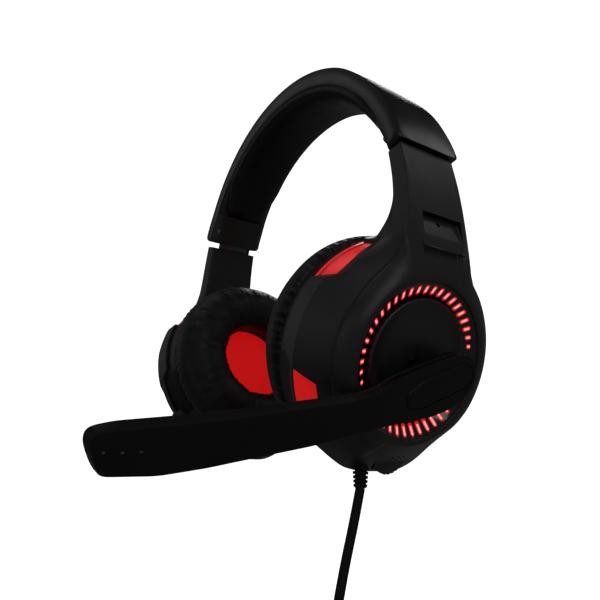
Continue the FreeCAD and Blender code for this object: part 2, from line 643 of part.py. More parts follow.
def tube_along(name, points, diameter):
    """A round cord: straight runs joined by tangent arcs."""
    points = [Vector(*point) for point in points]
    runs = [after - before for before, after in zip(points, points[1:])]
    edges = []
    start = points[0]
    radii = []
    for corner, before, after in zip(points[1:], runs, runs[1:]):
        half = before.getAngle(after) / 2
        back = ARC_SHARE * min(before.Length, after.Length)
        radius = back / math.tan(half)
        into = corner - Vector(before).normalize() * back
        out = corner + Vector(after).normalize() * back
        chord = (into + out) * 0.5 - corner
        middle = corner + chord * ((radius / math.cos(half) - radius) / chord.Length)
        edges.append(Part.LineSegment(start, into).toShape())
        edges.append(Part.Arc(into, middle, out).toShape())
        radii.append(round(radius, 1))
        start = out
    edges.append(Part.LineSegment(start, points[-1]).toShape())
    spine = Part.Wire(edges)
    first = (points[1] - points[0]).normalize()
    section = Part.Wire([Part.Circle(points[0], first, diameter / 2).toShape()])
    cord = spine.makePipeShell([section], True, False)
    thing = doc.addObject("Part::Feature", name)
    thing.Shape = cord
    expected = math.pi * (diameter / 2) ** 2 * spine.Length
    print(name, "bend radii", radii, "length", round(spine.Length, 1),
          "volume ratio", round(cord.Volume / expected, 4))
    return thing


def cable():
    at = ("cable_x", "cable_y")
    root = rod("relief_root", "3.2", "relief_end+6", "relief_top", "Z", at)
    sleeve = rod("relief_sleeve", "2.6", "relief_end", "relief_top", "Z", at)
    ribs = [rod("relief_rib_%d" % index, "3.1", "relief_end+%.1f" % (1.5 * index),
                "relief_end+%.1f" % (1.5 * index + 0.9), "Z", at) for index in range(4)]
    node("cable_strain_relief", fuse("strain_relief", root, sleeve, *ribs))
    node("cable", tube_along("cable", LEAD, value("cable_d")))
    middle = ("coil_y", "coil_z")
    coil = tube("coil", "coil_r+coil_half", "coil_r-coil_half", "cable_x-coil_half", "cable_x+coil_half",
                "X", middle)
    node("cable_coil", coil)
    low = "coil_z+coil_r-coil_half"
    high = "coil_z+coil_r+coil_half"
    tie_out = block("tie_out", ("cable_x-coil_half-1.4", "cable_x+coil_half+1.4"), ("coil_y-4", "coil_y+4"),
                    (low + "-2.6", high + "+1.6"))
    tie_in = block("tie_in", ("cable_x-coil_half-0.3", "cable_x+coil_half+0.3"), ("coil_y-5", "coil_y+5"),
                   (low + "-1.2", high + "+0.3"))
    node("coil_tie", cut("coil_tie", tie_out, tie_in))
    node("cable_tail", tube_along("cable_tail", TAIL, value("cable_d")))
    at = ("cable_x", "plug_y")
    grip = rod("plug_grip", "2.9", "plug_top-6", "plug_top", "Z", at)
    case = block("plug_case", ("cable_x-4", "cable_x+4"), ("plug_y-8", "plug_y+8"), ("plug_top-24", "plug_top-5"))
    tongue = block("usb_tongue", ("cable_x-1.7", "cable_x+0.1"), ("plug_y-5.2", "plug_y+5.2"),
                   ("plug_top-35", "plug_top-23"))
    node("usb_plug", fuse("usb_plug", grip, case, tongue))
    outer = block("usb_outer", ("cable_x-2.25", "cable_x+2.25"), ("plug_y-6", "plug_y+6"),
                  ("plug_top-36", "plug_top-24"))
    inner = block("usb_inner", ("cable_x-1.9", "cable_x+1.9"), ("plug_y-5.6", "plug_y+5.6"),
                  ("plug_top-38", "plug_top-23"))
    node("usb_contact_shell", cut("usb_contact_shell", outer, inner))


headband()
slider_guide()
slider_strip()
node("left_outer_shell", outer_shell("left_shell", True))
mirrored("right_outer_shell", outer_shell("plain_shell", False))
arm_cover()
node("left_cup_housing", cup_housing("left_housing", True))
mirrored("right_cup_housing", cup_housing("plain_housing", False))
node("left_accent_ring", accent_ring("left_accent", True))
mirrored("right_accent_ring", accent_ring("plain_accent", False))
cup_inside()
lights()
boom()
mirrored("right_hub_cap", in_cup(dish("hub_cap_blank", "44.6")))
volume_wheel()
cable()

doc.recompute()
for thing in doc.Objects:
    if "Invalid" in thing.State or "Error" in thing.State:
        raise RuntimeError("%s is %s" % (thing.Name, thing.State))
os.makedirs("parts", exist_ok=True)
for name, thing in NODES.items():
    shape = thing.Shape
    if shape.isNull() or not shape.isValid() or not shape.Solids:
        raise RuntimeError("%s has no valid shape" % name)
    box = shape.BoundBox
    print("%-24s %d solids %8.2f cm3  x %.1f..%.1f  y %.1f..%.1f  z %.1f..%.1f" % (
        name, len(shape.Solids), shape.Volume / 1000, box.XMin, box.XMax, box.YMin, box.YMax,
        box.ZMin, box.ZMax))
    shape.exportStep("parts/%s.step" % name)
print(len(NODES), "nodes")
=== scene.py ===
import json
import math

import bmesh
import bpy
import numpy as np
from mathutils import Matrix, Vector


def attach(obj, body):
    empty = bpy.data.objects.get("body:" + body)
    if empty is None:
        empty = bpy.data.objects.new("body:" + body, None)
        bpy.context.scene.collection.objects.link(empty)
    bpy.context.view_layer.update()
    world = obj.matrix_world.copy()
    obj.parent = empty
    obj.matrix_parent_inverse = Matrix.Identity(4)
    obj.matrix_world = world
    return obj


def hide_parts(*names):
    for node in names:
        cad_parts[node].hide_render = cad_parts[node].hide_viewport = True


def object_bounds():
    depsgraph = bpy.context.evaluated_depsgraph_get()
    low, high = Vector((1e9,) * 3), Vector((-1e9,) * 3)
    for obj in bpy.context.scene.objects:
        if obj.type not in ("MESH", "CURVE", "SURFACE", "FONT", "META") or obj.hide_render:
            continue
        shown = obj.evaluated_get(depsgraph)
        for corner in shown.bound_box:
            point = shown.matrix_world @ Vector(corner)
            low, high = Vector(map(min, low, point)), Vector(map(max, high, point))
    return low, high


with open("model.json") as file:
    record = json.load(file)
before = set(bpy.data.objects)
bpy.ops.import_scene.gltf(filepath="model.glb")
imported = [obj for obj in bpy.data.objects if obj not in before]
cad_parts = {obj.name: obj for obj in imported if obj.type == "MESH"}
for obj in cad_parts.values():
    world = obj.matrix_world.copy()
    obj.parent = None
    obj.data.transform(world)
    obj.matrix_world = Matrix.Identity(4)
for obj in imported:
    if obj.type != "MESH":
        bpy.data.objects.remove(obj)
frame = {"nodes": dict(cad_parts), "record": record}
cad_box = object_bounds()

# Sizes are in millimetres of the row frame until a mesh is made, and in metres from then on.
MM = 0.001
TAU = 2 * math.pi

# The cup's frame: x out of the ear, y to the rear, z up, with its origin on the cushion's face.
EAR_OUT, EAR_DOWN, TILT = 36.0, -127.0, math.radians(17)
# The arch's centre is over the origin, and its ends stand this far above that centre's level.
BAND_R, CROWN, END_ANGLE = 93.0, 15.0, math.radians(16)
BAND_CENTRE = CROWN - BAND_R
RIGHT_OUT = 3.0
BOW_R = 176.0
ARM_DEEP = 8.8


# ---- points

def cup(off, back, up):
    """A point of the left cup's frame, in the row frame."""
    return np.array([EAR_OUT + off * math.cos(TILT) + up * math.sin(TILT), back,
                     EAR_DOWN - off * math.sin(TILT) + up * math.cos(TILT)])


def into_cup(point):
    """A point of the row frame, in the left cup's frame."""
    out, up = point[0] - EAR_OUT, point[2] - EAR_DOWN
    return np.array([out * math.cos(TILT) - up * math.sin(TILT), point[1],
                     out * math.sin(TILT) + up * math.cos(TILT)])


def around(off, radius, turns):
    """Points at these angles round the cup's axis, from the rear upwards, in the cup's frame."""
    return np.column_stack([np.broadcast_to(off, turns.shape), radius * np.cos(turns), radius * np.sin(turns)])


def circle(off, radius, count=96):
    return around(off, radius, np.linspace(0, TAU, count, endpoint=False))


def from_cup(points):
    return np.array([cup(*p) for p in points])


def right_hand(points):
    """The left cup's points as the right cup's, which stands a little further down its slider."""
    moved = np.array(points, float)
    moved[:, 0] = -moved[:, 0] - RIGHT_OUT * math.sin(END_ANGLE)
    moved[:, 2] -= RIGHT_OUT * math.cos(END_ANGLE)
    return moved


def smoothstep(low, high, x):
    """0 at low and 1 at high, which may stand either way round."""
    t = np.clip((x - low) / (high - low), 0, 1)
    return t * t * (3 - 2 * t)


# ---- meshes

def make_mesh(name, points, faces, materials, side="left", slots=None, sharp=35):
    """A piece from row-frame points in millimetres; the right side is the left one mirrored."""
    points = np.array(points, float)
    if side == "right":
        points = right_hand(points)
        faces = [tuple(reversed(face)) for face in faces]
    mesh = bpy.data.meshes.new(name)
    mesh.from_pydata([tuple(p) for p in points * MM], [], [tuple(int(i) for i in f) for f in faces])
    for material in materials if isinstance(materials, list) else [materials]:
        mesh.materials.append(material)
    if slots is not None:
        mesh.polygons.foreach_set("material_index", list(slots))
    mesh.update()
    solid = bmesh.new()
    solid.from_mesh(mesh)
    bmesh.ops.recalc_face_normals(solid, faces=solid.faces)
    solid.to_mesh(mesh)
    solid.free()
    piece = bpy.data.objects.new(name, mesh)
    bpy.context.scene.collection.objects.link(piece)
    smooth(piece, sharp)
    return piece


def smooth(piece, sharp):
    for polygon in piece.data.polygons:
        polygon.use_smooth = True
    piece.data.set_sharp_from_angle(angle=math.radians(sharp))


def settle(piece, body, slot, *nodes):
    """The piece rides on a body, and stands for the CAD nodes named. The slot is not used."""
    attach(piece, body)
    if nodes:
        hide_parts(*nodes)
    return piece


def add_to_band(name, shape, material, slot, node, sharp):
    return settle(make_mesh(name, *shape, material, sharp=sharp), "headband", slot, node)


def add_to_boom(name, shape, material, slot, *nodes, sharp):
    return settle(make_mesh(name, *shape, material, sharp=sharp), "boom", slot, *nodes)


def add_to_cup(side, name, shape, material, slot, node=None, **how):
    piece = make_mesh(side + "_" + name, *shape, material, side, **how)
    return settle(piece, side + "_cup", slot, *([side + "_" + node] if node else []))


def skin(rings, closed=False, caps=(False, False), wrap=True):
    """Points and faces of a surface through rings of equal length."""
    count = len(rings[0])
    points = np.vstack(rings)
    faces = []
    rows = len(rings) if closed else len(rings) - 1
    for row in range(rows):
        here, there = row * count, ((row + 1) % len(rings)) * count
        for i in range(count if wrap else count - 1):
            j = (i + 1) % count
            faces.append((here + i, here + j, there + j, there + i))
    if caps[0]:
        faces.append(tuple(range(count - 1, -1, -1)))
    if caps[1]:
        faces.append(tuple((len(rings) - 1) * count + i for i in range(count)))
    return points, faces


def joined(parts):
    """Several (points, faces) as one."""
    points, faces, start = [], [], 0
    for part_points, part_faces in parts:
        points.append(part_points)
        faces += [tuple(i + start for i in face) for face in part_faces]
        start += len(part_points)
    return np.vstack(points), faces


def turned(profile, count=128):
    """A closed ring-shaped solid about the cup's axis from (off, radius) corners."""
    return skin([from_cup(circle(off, radius, count)) for off, radius in profile], closed=True)


def strip(profile, first, last, count):
    """Part of such a ring, between two angles in degrees."""
    turns = np.radians(np.linspace(first, last, count))
    rings = [from_cup(around(off, radius, turns)) for off, radius in profile]
    points, faces = skin(rings, closed=True, wrap=False)
    faces.append(tuple(count * row for row in range(len(profile))))
    faces.append(tuple(count * row + count - 1 for row in reversed(range(len(profile)))))
    return points, faces


def small_hole(middle, across, down, count):
    """An oval (back, up) outline about a (back, up) point."""
    turns = np.linspace(0, TAU, count, endpoint=False)
    return np.column_stack([middle[0] + across * np.cos(turns), middle[1] + down * np.sin(turns)])


def rounded(corners, cut=1.0, steps=4):
    """A closed outline with each corner eased over at most the cut length."""
    corners = [np.array(c[:2], float) for c in corners]
    out = []
    for i, here in enumerate(corners):
        before, after = corners[i - 1], corners[(i + 1) % len(corners)]
        back, on = before - here, after - here
        start = here + back * min(cut / np.linalg.norm(back), 0.45)
        end = here + on * min(cut / np.linalg.norm(on), 0.45)
        for t in np.linspace(0, 1, steps + 1):
            out.append((1 - t) ** 2 * start + 2 * t * (1 - t) * here + t * t * end)
    return np.array(out)


def inset(outline, distance):
    """A closed outline moved inwards."""
    before, after = np.roll(outline, 1, 0), np.roll(outline, -1, 0)
    along = after - before
    along /= np.linalg.norm(along, axis=1)[:, None]
    area = np.sum(before[:, 0] * outline[:, 1] - outline[:, 0] * before[:, 1])
    normal = np.column_stack([-along[:, 1], along[:, 0]]) * (1 if area > 0 else -1)
    return outline + normal * distance


def plate(outline, layers):
    """A closed solid from one (back, up) outline: layers of (off, inset)."""
    rings = []
    for off, distance in layers:
        ring = inset(outline, distance)
        rings.append(from_cup(np.column_stack([np.full(len(ring), off), ring])))
    return skin(rings, caps=(True, True))


def modify(piece, kind, **settings):
    modifier = piece.modifiers.new(kind.lower(), kind)
    for name, value in settings.items():
        setattr(modifier, name, value)


def carve(piece, tools, sharp, pad=None):
    """The piece with a pad joined on and the tools cut away, as plain mesh."""
    if pad:
        modify(piece, "BOOLEAN", operation="UNION", object=pad, solver="EXACT")
    for tool in tools:
        modify(piece, "BOOLEAN", operation="DIFFERENCE", object=tool, solver="EXACT")
    graph = bpy.context.evaluated_depsgraph_get()
    baked = bpy.data.meshes.new_from_object(piece.evaluated_get(graph))
    piece.modifiers.clear()
    piece.data = baked
    smooth(piece, sharp)
    for tool in filter(None, (pad, *tools)):
        bpy.data.objects.remove(tool)


def ease_edges(piece, width):
    modify(piece, "BEVEL", width=width * MM, segments=2, limit_method="ANGLE",
           angle_limit=math.radians(32), harden_normals=False)


# ---- materials

def new_material(name, colour, roughness, **inputs):
    material = bpy.data.materials.new(name)
    material.use_nodes = True
    shader = material.node_tree.nodes["Principled BSDF"]
    shader.inputs["Base Color"].default_value = (*colour, 1)
    shader.inputs["Roughness"].default_value = roughness
    for socket, value in inputs.items():
        shader.inputs[socket.replace("_", " ")].default_value = value
    return material


def add_node(material, kind, **settings):
    made = material.node_tree.nodes.new(kind)
    for name, value in settings.items():
        if name.startswith("in_"):
            made.inputs[name[3:].replace("_", " ")].default_value = value
        else:
            setattr(made, name, value)
    return made


def wire(material, start, end):
    material.node_tree.links.new(start, end)


def shader_of(material):
    return material.node_tree.nodes["Principled BSDF"]


def object_coordinates(material):
    return add_node(material, "ShaderNodeTexCoord").outputs["Object"]


def noise(material, scale, detail=3, roughness=0.55):
    made = add_node(material, "ShaderNodeTexNoise", in_Scale=scale, in_Detail=detail, in_Roughness=roughness)
    wire(material, object_coordinates(material), made.inputs["Vector"])
    return made.outputs["Fac"]


def spread(material, value, low, high):
    """A 0 to 1 value spread over another range."""
    made = add_node(material, "ShaderNodeMapRange", in_From_Min=0.25, in_From_Max=0.75, in_To_Min=low,
                    in_To_Max=high)
    wire(material, value, made.inputs["Value"])
    return made.outputs["Result"]


def bump(material, height, strength, distance_mm):
    made = add_node(material, "ShaderNodeBump", in_Strength=strength, in_Distance=distance_mm * MM)
    wire(material, height, made.inputs["Height"])
    wire(material, made.outputs["Normal"], shader_of(material).inputs["Normal"])


def vary_colour(material, value, dark, light):
    ramp = add_node(material, "ShaderNodeValToRGB")
    ramp.color_ramp.elements[0].position = 0.3
    ramp.color_ramp.elements[0].color = (*dark, 1)
    ramp.color_ramp.elements[1].position = 0.7
    ramp.color_ramp.elements[1].color = (*light, 1)
    wire(material, value, ramp.inputs["Fac"])
    wire(material, ramp.outputs["Color"], shader_of(material).inputs["Base Color"])


def moulded_plastic(name, colour, roughness, grain=0.25, shine=0.4):
    """Moulded ABS with a fine spark-eroded grain and slight sheen variation."""
    material = new_material(name, colour, roughness, Specular_IOR_Level=shine)
    cloud = noise(material, 60, 2)
    wire(material, spread(material, cloud, roughness - 0.05, roughness + 0.06),
         shader_of(material).inputs["Roughness"])
    vary_colour(material, cloud, tuple(c * 0.88 for c in colour), tuple(c * 1.12 for c in colour))
    bump(material, noise(material, 2600, 2, 0.7), grain, 0.05)
    return material


def gloss_plastic(name, colour, roughness=0.12, coat=0.0):
    material = new_material(name, colour, roughness, Specular_IOR_Level=0.5, Coat_Weight=coat,
                            Coat_Roughness=0.06)
    wire(material, spread(material, noise(material, 90, 4), roughness * 0.8, roughness * 1.35),
         shader_of(material).inputs["Roughness"])
    bump(material, noise(material, 420, 2), 0.05, 0.04)
    return material


def leatherette(name):
    """Soft protein leather: fine cells, a dull sheen and worn high spots."""
    material = new_material(name, (0.004, 0.004, 0.0042), 0.5, Specular_IOR_Level=0.26)
    cells = add_node(material, "ShaderNodeTexVoronoi", feature="F1", in_Scale=1500.0, in_Randomness=1.0)
    wire(material, object_coordinates(material), cells.inputs["Vector"])
    grain = add_node(material, "ShaderNodeMath", operation="MULTIPLY_ADD")
    wire(material, cells.outputs["Distance"], grain.inputs[0])
    grain.inputs[1].default_value = -0.8
    wire(material, noise(material, 900, 3), grain.inputs[2])
    bump(material, grain.outputs[0], 0.45, 0.09)
    cloud = noise(material, 140, 4)
    wire(material, spread(material, cloud, 0.40, 0.58), shader_of(material).inputs["Roughness"])
    vary_colour(material, cloud, (0.003, 0.003, 0.0032), (0.006, 0.006, 0.0063))
    return material


def woven_cloth(name, dark, light):
    """Acoustic cloth: two crossed sets of fine threads."""
    material = new_material(name, light, 0.8, Specular_IOR_Level=0.2, Sheen_Weight=0.3, Sheen_Roughness=0.5)
    turn = add_node(material, "ShaderNodeMapping")
    turn.inputs["Rotation"].default_value = (0, -TILT, 0)
    wire(material, object_coordinates(material), turn.inputs["Vector"])
    threads = []
    for direction in ("Y", "Z"):
        wave = add_node(material, "ShaderNodeTexWave", wave_type="BANDS", bands_direction=direction,
                        in_Scale=380.0, in_Distortion=0.4, in_Detail=1.0)
        wire(material, turn.outputs["Vector"], wave.inputs["Vector"])
        threads.append(wave.outputs["Fac"])
    weave = add_node(material, "ShaderNodeMath", operation="MAXIMUM")
    wire(material, threads[0], weave.inputs[0])
    wire(material, threads[1], weave.inputs[1])
    bump(material, weave.outputs[0], 0.5, 0.12)
    vary_colour(material, weave.outputs[0], dark, light)
    return material


def metal(name, colour, roughness):
    material = new_material(name, colour, roughness, Metallic=1.0)
    brushed = add_node(material, "ShaderNodeTexNoise", in_Scale=220.0, in_Detail=4.0)
    stretch = add_node(material, "ShaderNodeMapping")
    stretch.inputs["Scale"].default_value = (1, 12, 1)
    wire(material, object_coordinates(material), stretch.inputs["Vector"])
    wire(material, stretch.outputs["Vector"], brushed.inputs["Vector"])
    wire(material, spread(material, brushed.outputs["Fac"], roughness * 0.7, roughness * 1.4),
         shader_of(material).inputs["Roughness"])
    bump(material, brushed.outputs["Fac"], 0.08, 0.03)
    return material


def lit(material, colour, strength):
    """The material with light of its own added."""
    shader = shader_of(material)
    shader.inputs["Emission Color"].default_value = (*colour, 1)
    shader.inputs["Emission Strength"].default_value = strength
    return material


def glowing(name, colour, strength, base=(0.25, 0.01, 0.01)):
    return lit(new_material(name, base, 0.4), colour, strength)


BLACK = moulded_plastic("matt_black_plastic", (0.014, 0.014, 0.0145), 0.44)
BAND_BLACK = moulded_plastic("band_black_plastic", (0.005, 0.005, 0.0052), 0.32, 0.12)
DARK = moulded_plastic("dark_grey_plastic", (0.007, 0.007, 0.0073), 0.5, 0.35)
BOOM_BLACK = moulded_plastic("boom_black_plastic", (0.003, 0.003, 0.0032), 0.44, 0.15, 0.22)
GLOSS = gloss_plastic("gloss_black_plastic", (0.004, 0.004, 0.005), 0.10, 0.4)
DISH = gloss_plastic("satin_grey_plastic", (0.010, 0.0105, 0.011), 0.36)
PORT = moulded_plastic("port_screen_grey", (0.09, 0.09, 0.095), 0.5)
RED = gloss_plastic("red_plastic", (0.72, 0.006, 0.005), 0.32)
RED_DEEP = gloss_plastic("deep_red_plastic", (0.16, 0.004, 0.004), 0.3)
LEATHER = leatherette("black_leatherette")
CLOTH = woven_cloth("red_speaker_cloth", (0.42, 0.005, 0.004), (0.78, 0.012, 0.010))
STEEL = metal("black_oxide_steel", (0.10, 0.10, 0.11), 0.34)
SCREW = metal("black_zinc_screws", (0.16, 0.16, 0.17), 0.3)
NICKEL = metal("nickel_plate", (0.72, 0.71, 0.69), 0.22)
BOARD = gloss_plastic("board_green", (0.01, 0.09, 0.03), 0.35)
FILM = gloss_plastic("diaphragm_film", (0.55, 0.5, 0.42), 0.2)
RUBBER = moulded_plastic("black_cable_rubber", (0.004, 0.004, 0.0042), 0.55, 0.3, 0.2)
GLOW = glowing("red_light", (1.0, 0.018, 0.020), 0.62)
HOT = glowing("hot_light", (1.0, 0.30, 0.30), 1.5)
HALO = glowing("light_halo", (1.0, 0.0, 0.006), 0.06, (0.01, 0.002, 0.002))
# Painted glow: the red plastics and the red speaker cloth give off light of their own, which stands in for light
# falling on them; they are no lamps.
for material, strength in ((RED, 0.42), (RED_DEEP, 0.10), (CLOTH, 0.42)):
    lit(material, (1.0, 0.010, 0.012), strength)


# ---- camera

CAMERA_PLACE = (0.2432, -0.1671, -0.1673)
CAMERA_TURN = (55.85, -12.19, 2.33)
LENS, SENSOR = 34.15, 36


def place_camera():
    """Low in front of the left cup, looking up and across the arch."""
    azimuth, elevation, roll = (math.radians(degrees) for degrees in CAMERA_TURN)
    back = Vector((math.sin(azimuth) * math.cos(elevation), -math.cos(azimuth) * math.cos(elevation),
                   math.sin(elevation)))
    level = Vector((math.cos(azimuth), math.sin(azimuth), 0))
    upright = back.cross(level)
    right = level * math.cos(roll) + upright * math.sin(roll)
    up = upright * math.cos(roll) - level * math.sin(roll)
    lens = bpy.data.cameras.new("camera")
    lens.sensor_width = SENSOR
    lens.lens = LENS
    lens.clip_start = 0.01
    camera = bpy.data.objects.new("camera", lens)
    camera.matrix_world = Matrix((right, up, back)).transposed().to_4x4()
    camera.matrix_world.translation = CAMERA_PLACE
    bpy.context.scene.collection.objects.link(camera)
    bpy.context.scene.camera = camera


# ---- cable

CABLE_D, CABLE_LONG = 4.0, 2.0  # in mm, and in m as the real cable's length
LEAD = [(55, -5.5, -192.5), (55, -7.9, -203.5), (55, -13.2, -223), (55, -17.4, -243)]
TAIL = [(55, 21, -305.5), (55, 29.5, -312.5), (55, 33, -323.5), (55, 33.8, -334)]
COIL_MIDDLE = (55.0, 9.0, -276.0)
COIL_ROWS, COIL_COLUMNS = (28.4, 24.2, 20.0, 15.8), (48.6, 52.8, 57.1, 61.4)
COIL_LANES = [(0, 2), (0, 3), (1, 3), (2, 3), (3, 3), (3, 2), (2, 2), (1, 2), (1, 1), (2, 1), (2, 0), (1, 0),
              (0, 0), (0, 1)]


def coil_points():
    """The put-away turns: in at the outer row, through the rows beneath, and out again at the outer row."""
    lanes = [(COIL_ROWS[row], COIL_COLUMNS[column]) for row, column in COIL_LANES]
    steps = 16
    points = []
    for step in range(int((len(lanes) - 0.75) * steps) + 1):
        index, share = divmod(step / steps, 1)
        lane, following = lanes[int(index)], lanes[min(int(index) + 1, len(lanes) - 1)]
        change = float(smoothstep(0.72, 1.0, share))
        radius, x = (here * (1 - change) + there * change for here, there in zip(lane, following))
        angle = math.pi + share * TAU
        points.append((x, COIL_MIDDLE[1] + radius * math.cos(angle), COIL_MIDDLE[2] + radius * math.sin(angle)))
    return points


def cable():
    route = LEAD + coil_points() + TAIL
    curve = bpy.data.curves.new("cable_line", "CURVE")
    curve.dimensions = "3D"
    curve.bevel_depth = CABLE_D / 2 * MM
    curve.bevel_resolution = 5
    curve.resolution_u = 8
    curve.use_fill_caps = True
    spline = curve.splines.new("NURBS")
    spline.points.add(len(route) - 1)
    for point, place in zip(spline.points, route):
        point.co = (*(c * MM for c in place), 1)
    spline.order_u = 3
    spline.use_endpoint_u = True
    curve.materials.append(RUBBER)
    line = bpy.data.objects.new("cable_line", curve)
    bpy.context.scene.collection.objects.link(line)
    settle(line, "left_cup", "rubber", "cable", "cable_coil", "cable_tail")
    strain_relief()


def strain_relief():
    """A tapered sleeve with cut ribs."""
    middle_x, middle_y, end = LEAD[0]
    top = -180.0
    profile = [(top, 1.2), (top, 3.2), (end + 7.4, 3.25), (end + 7.2, 2.5)]
    for rib in range(4):
        low = end + 5.5 - 1.7 * rib
        size = 3.3 - 0.13 * rib
        profile += [(low + 1.1, 2.4), (low + 1.0, size), (low, size - 0.05), (low - 0.1, 2.3)]
    profile += [(end, 2.35), (end, 1.9)]
    angles = np.linspace(0, TAU, 40, endpoint=False)
    rings = [np.column_stack([middle_x + radius * np.cos(angles), middle_y + radius * np.sin(angles),
                              np.full(40, z)]) for z, radius in profile]
    piece = make_mesh("strain_relief_sleeve", *skin(rings, caps=(True, True)), RUBBER)
    return settle(piece, "left_cup", "rubber", "cable_strain_relief")


# ---- headband

# The band's corners at its ends have this radius, and its closed ends and crown pad meet at these angles.
BAND_CORNER, BAND_HALF = 2.6, 17.5
NEAR_END = END_ANGLE + np.array([0, 0.15, 0.5, 1.0, 1.7, BAND_CORNER]) / BAND_R
LINER_ANGLE, PAD_ANGLE = math.radians(28.4), math.radians(28.6)


def on_arch(radius, y, angle):
    return np.column_stack([radius * np.cos(angle), y, BAND_CENTRE + radius * np.sin(angle)])


def from_end(angle):
    """An angle of the arch measured from its nearer side's level."""
    return min(angle, math.pi - angle)


def band_width(angle):
    """The share of its full width that the band has, less at its rounded end corners."""
    to_end = (from_end(angle) - END_ANGLE) * BAND_R
    short = BAND_CORNER - min(max(to_end, 0.0), BAND_CORNER)
    corner = BAND_CORNER - math.sqrt(max(0.0, BAND_CORNER ** 2 - short ** 2))
    flare = 0.55 * (1 - float(smoothstep(2, 22, to_end)))
    return (BAND_HALF + flare - corner) / BAND_HALF


def band_out(radius, angle):
    """A radius of the band's skin, a little proud of the arch near the ends."""
    to_end = (from_end(angle) - END_ANGLE) * BAND_R
    lift = 0.45 + 0.35 * (1 - float(smoothstep(2, 20, to_end)))
    lift -= 0.95 * math.exp(-((math.degrees(angle) - 46) / 10) ** 2)
    return radius + lift * np.clip((radius - 88) / 4, 0, 1)


def band_end(side):
    """The plain closed end of the band that the slider strip runs through."""
    across = np.array([(91.2, -17.2), (91.2, 17.2), (85.6, 17.4), (84.2, 16.6), (82.6, 14.6), (81.6, 12.2),
                       (81.6, -12.2), (82.6, -14.6), (84.2, -16.6), (85.6, -17.4)])
    rings = []
    for angle in np.concatenate([NEAR_END, np.linspace(END_ANGLE + 0.045, LINER_ANGLE, 14)]):
        taper = float(smoothstep(LINER_ANGLE, END_ANGLE, angle)) * (across[:, 0] < 90)
        rings.append(on_arch(across[:, 0] + 1.5 * taper, across[:, 1] * band_width(angle), angle))
    points, faces = skin(rings, caps=(True, True))
    if side == "right":
        points = points * np.array([-1, 1, 1])
    add_to_band(side + "_band_end", (points, faces), BLACK, "black_plastic", side + "_slider_guide", 30)


def band_shell():
    """The arch's channel-shaped shell, with eased outer edges and a slight crown."""
    across = [(85.4, -17.2), (86, -17.5), (91.9, -17.5), (92.5, -17.3), (92.85, -16.7)]
    across += [(93.0 + 0.3 * (1 - (y / 15.0) ** 2), y) for y in np.linspace(-15.4, 15.4, 11)]
    across += [(92.85, 16.7), (92.5, 17.3), (91.9, 17.5), (86, 17.5), (85.4, 17.2), (85.4, 15.8), (91.1, 15.7),
               (91.1, -15.7), (85.4, -15.8)]
    across = np.array(across)
    rings = []
    start = END_ANGLE + 4.0 / BAND_R
    for angle in np.concatenate([NEAR_END, np.linspace(start, math.pi - start, 150), math.pi - NEAR_END[::-1]]):
        taper = float(smoothstep(math.radians(26), END_ANGLE, from_end(angle)))
        radius = band_out(across[:, 0], angle) + (across[:, 0] < 87) * 1.5 * taper
        rings.append(on_arch(radius, across[:, 1] * band_width(angle), angle))
    add_to_band("band_shell", skin(rings, caps=(True, True)), BAND_BLACK, "black_plastic", "headband_shell", 28)


def band_liner():
    """The arch's inner liner, with eased edges that narrow towards its ends."""
    across = np.array([(84.2, -15.9), (84.2, 15.9), (84.8, 17.0), (85.9, 17.4), (85.9, -17.4), (84.8, -17.0)])
    rings = []
    for angle in np.linspace(LINER_ANGLE, math.pi - LINER_ANGLE, 110):
        narrow = 1.6 * float(smoothstep(math.radians(46), LINER_ANGLE, from_end(angle))) * (across[:, 0] < 85)
        rings.append(on_arch(across[:, 0], across[:, 1] - np.sign(across[:, 1]) * narrow, angle))
    add_to_band("band_liner", skin(rings, caps=(True, True)), BLACK, "black_plastic", "headband_liner", 28)


def band_pad():
    """The crown pad: a long cushion with a sewn edge and fine gathers beside the seam."""
    seed = np.random.default_rng(7)
    waves = [(n, seed.uniform(0, TAU), seed.uniform(0.5, 1)) for n in (61, 83, 97, 118, 151)]
    turn = np.linspace(0, TAU, 64, endpoint=False)
    cos, sin = np.cos(turn), np.sin(turn)
    whole = math.pi - 2 * PAD_ANGLE
    rings = []
    for step in np.linspace(0, 1, 260):
        angle = PAD_ANGLE + step * whole
        to_end = min(step, 1 - step) * whole * 81
        shape = math.sqrt(max(0.0004, 1 - (1 - min(to_end / 7.0, 1)) ** 2.4))
        gather = sum(size * math.sin(n * angle + phase) for n, phase, size in waves) / len(waves)
        half = 16.9 - 3.4 * float(smoothstep(math.radians(46), math.radians(30), from_end(angle)))
        y = np.sign(cos) * np.abs(cos) ** 0.7 * half * (0.6 + 0.4 * shape)
        r = 83.2 + np.sign(sin) * np.abs(sin) ** 0.85 * 4.2 * shape
        seam = np.exp(-((np.abs(y) - half + 1.7) / 0.9) ** 2) * (sin < 0)
        r += seam * (0.35 + 0.15 * gather) * shape
        r += (sin < 0) * 0.07 * gather * np.exp(-((np.abs(y) - 12.0) / 3.0) ** 2) * shape
        r -= (sin < 0) * 0.8 * (1 - (y / half) ** 2) * shape
        rings.append(on_arch(r, y, angle))
    piece = add_to_band("crown_pad", skin(rings, caps=(True, True)), LEATHER, "leatherette", "headband_pad", 60)


# ---- cup shell

# The arm's front and rear edges as (z, y), and how far its front edge flares into the cup at each point.
FRONT_EDGE = [(-95.0, -20.1), (-90.0, -18.3), (-84.0, -17.0), (-76.0, -16.4), (-66.0, -16.1), (-52.9, -15.9)]
REAR_EDGE = [(-52.9, 14.2), (-66.0, 14.8), (-76.0, 15.2), (-84.0, 15.6), (-92.0, 15.9), (-99.0, 16.4)]
FLARE = (0.0, 0.0, 0.6, 2.0, 3.8, 5.4)
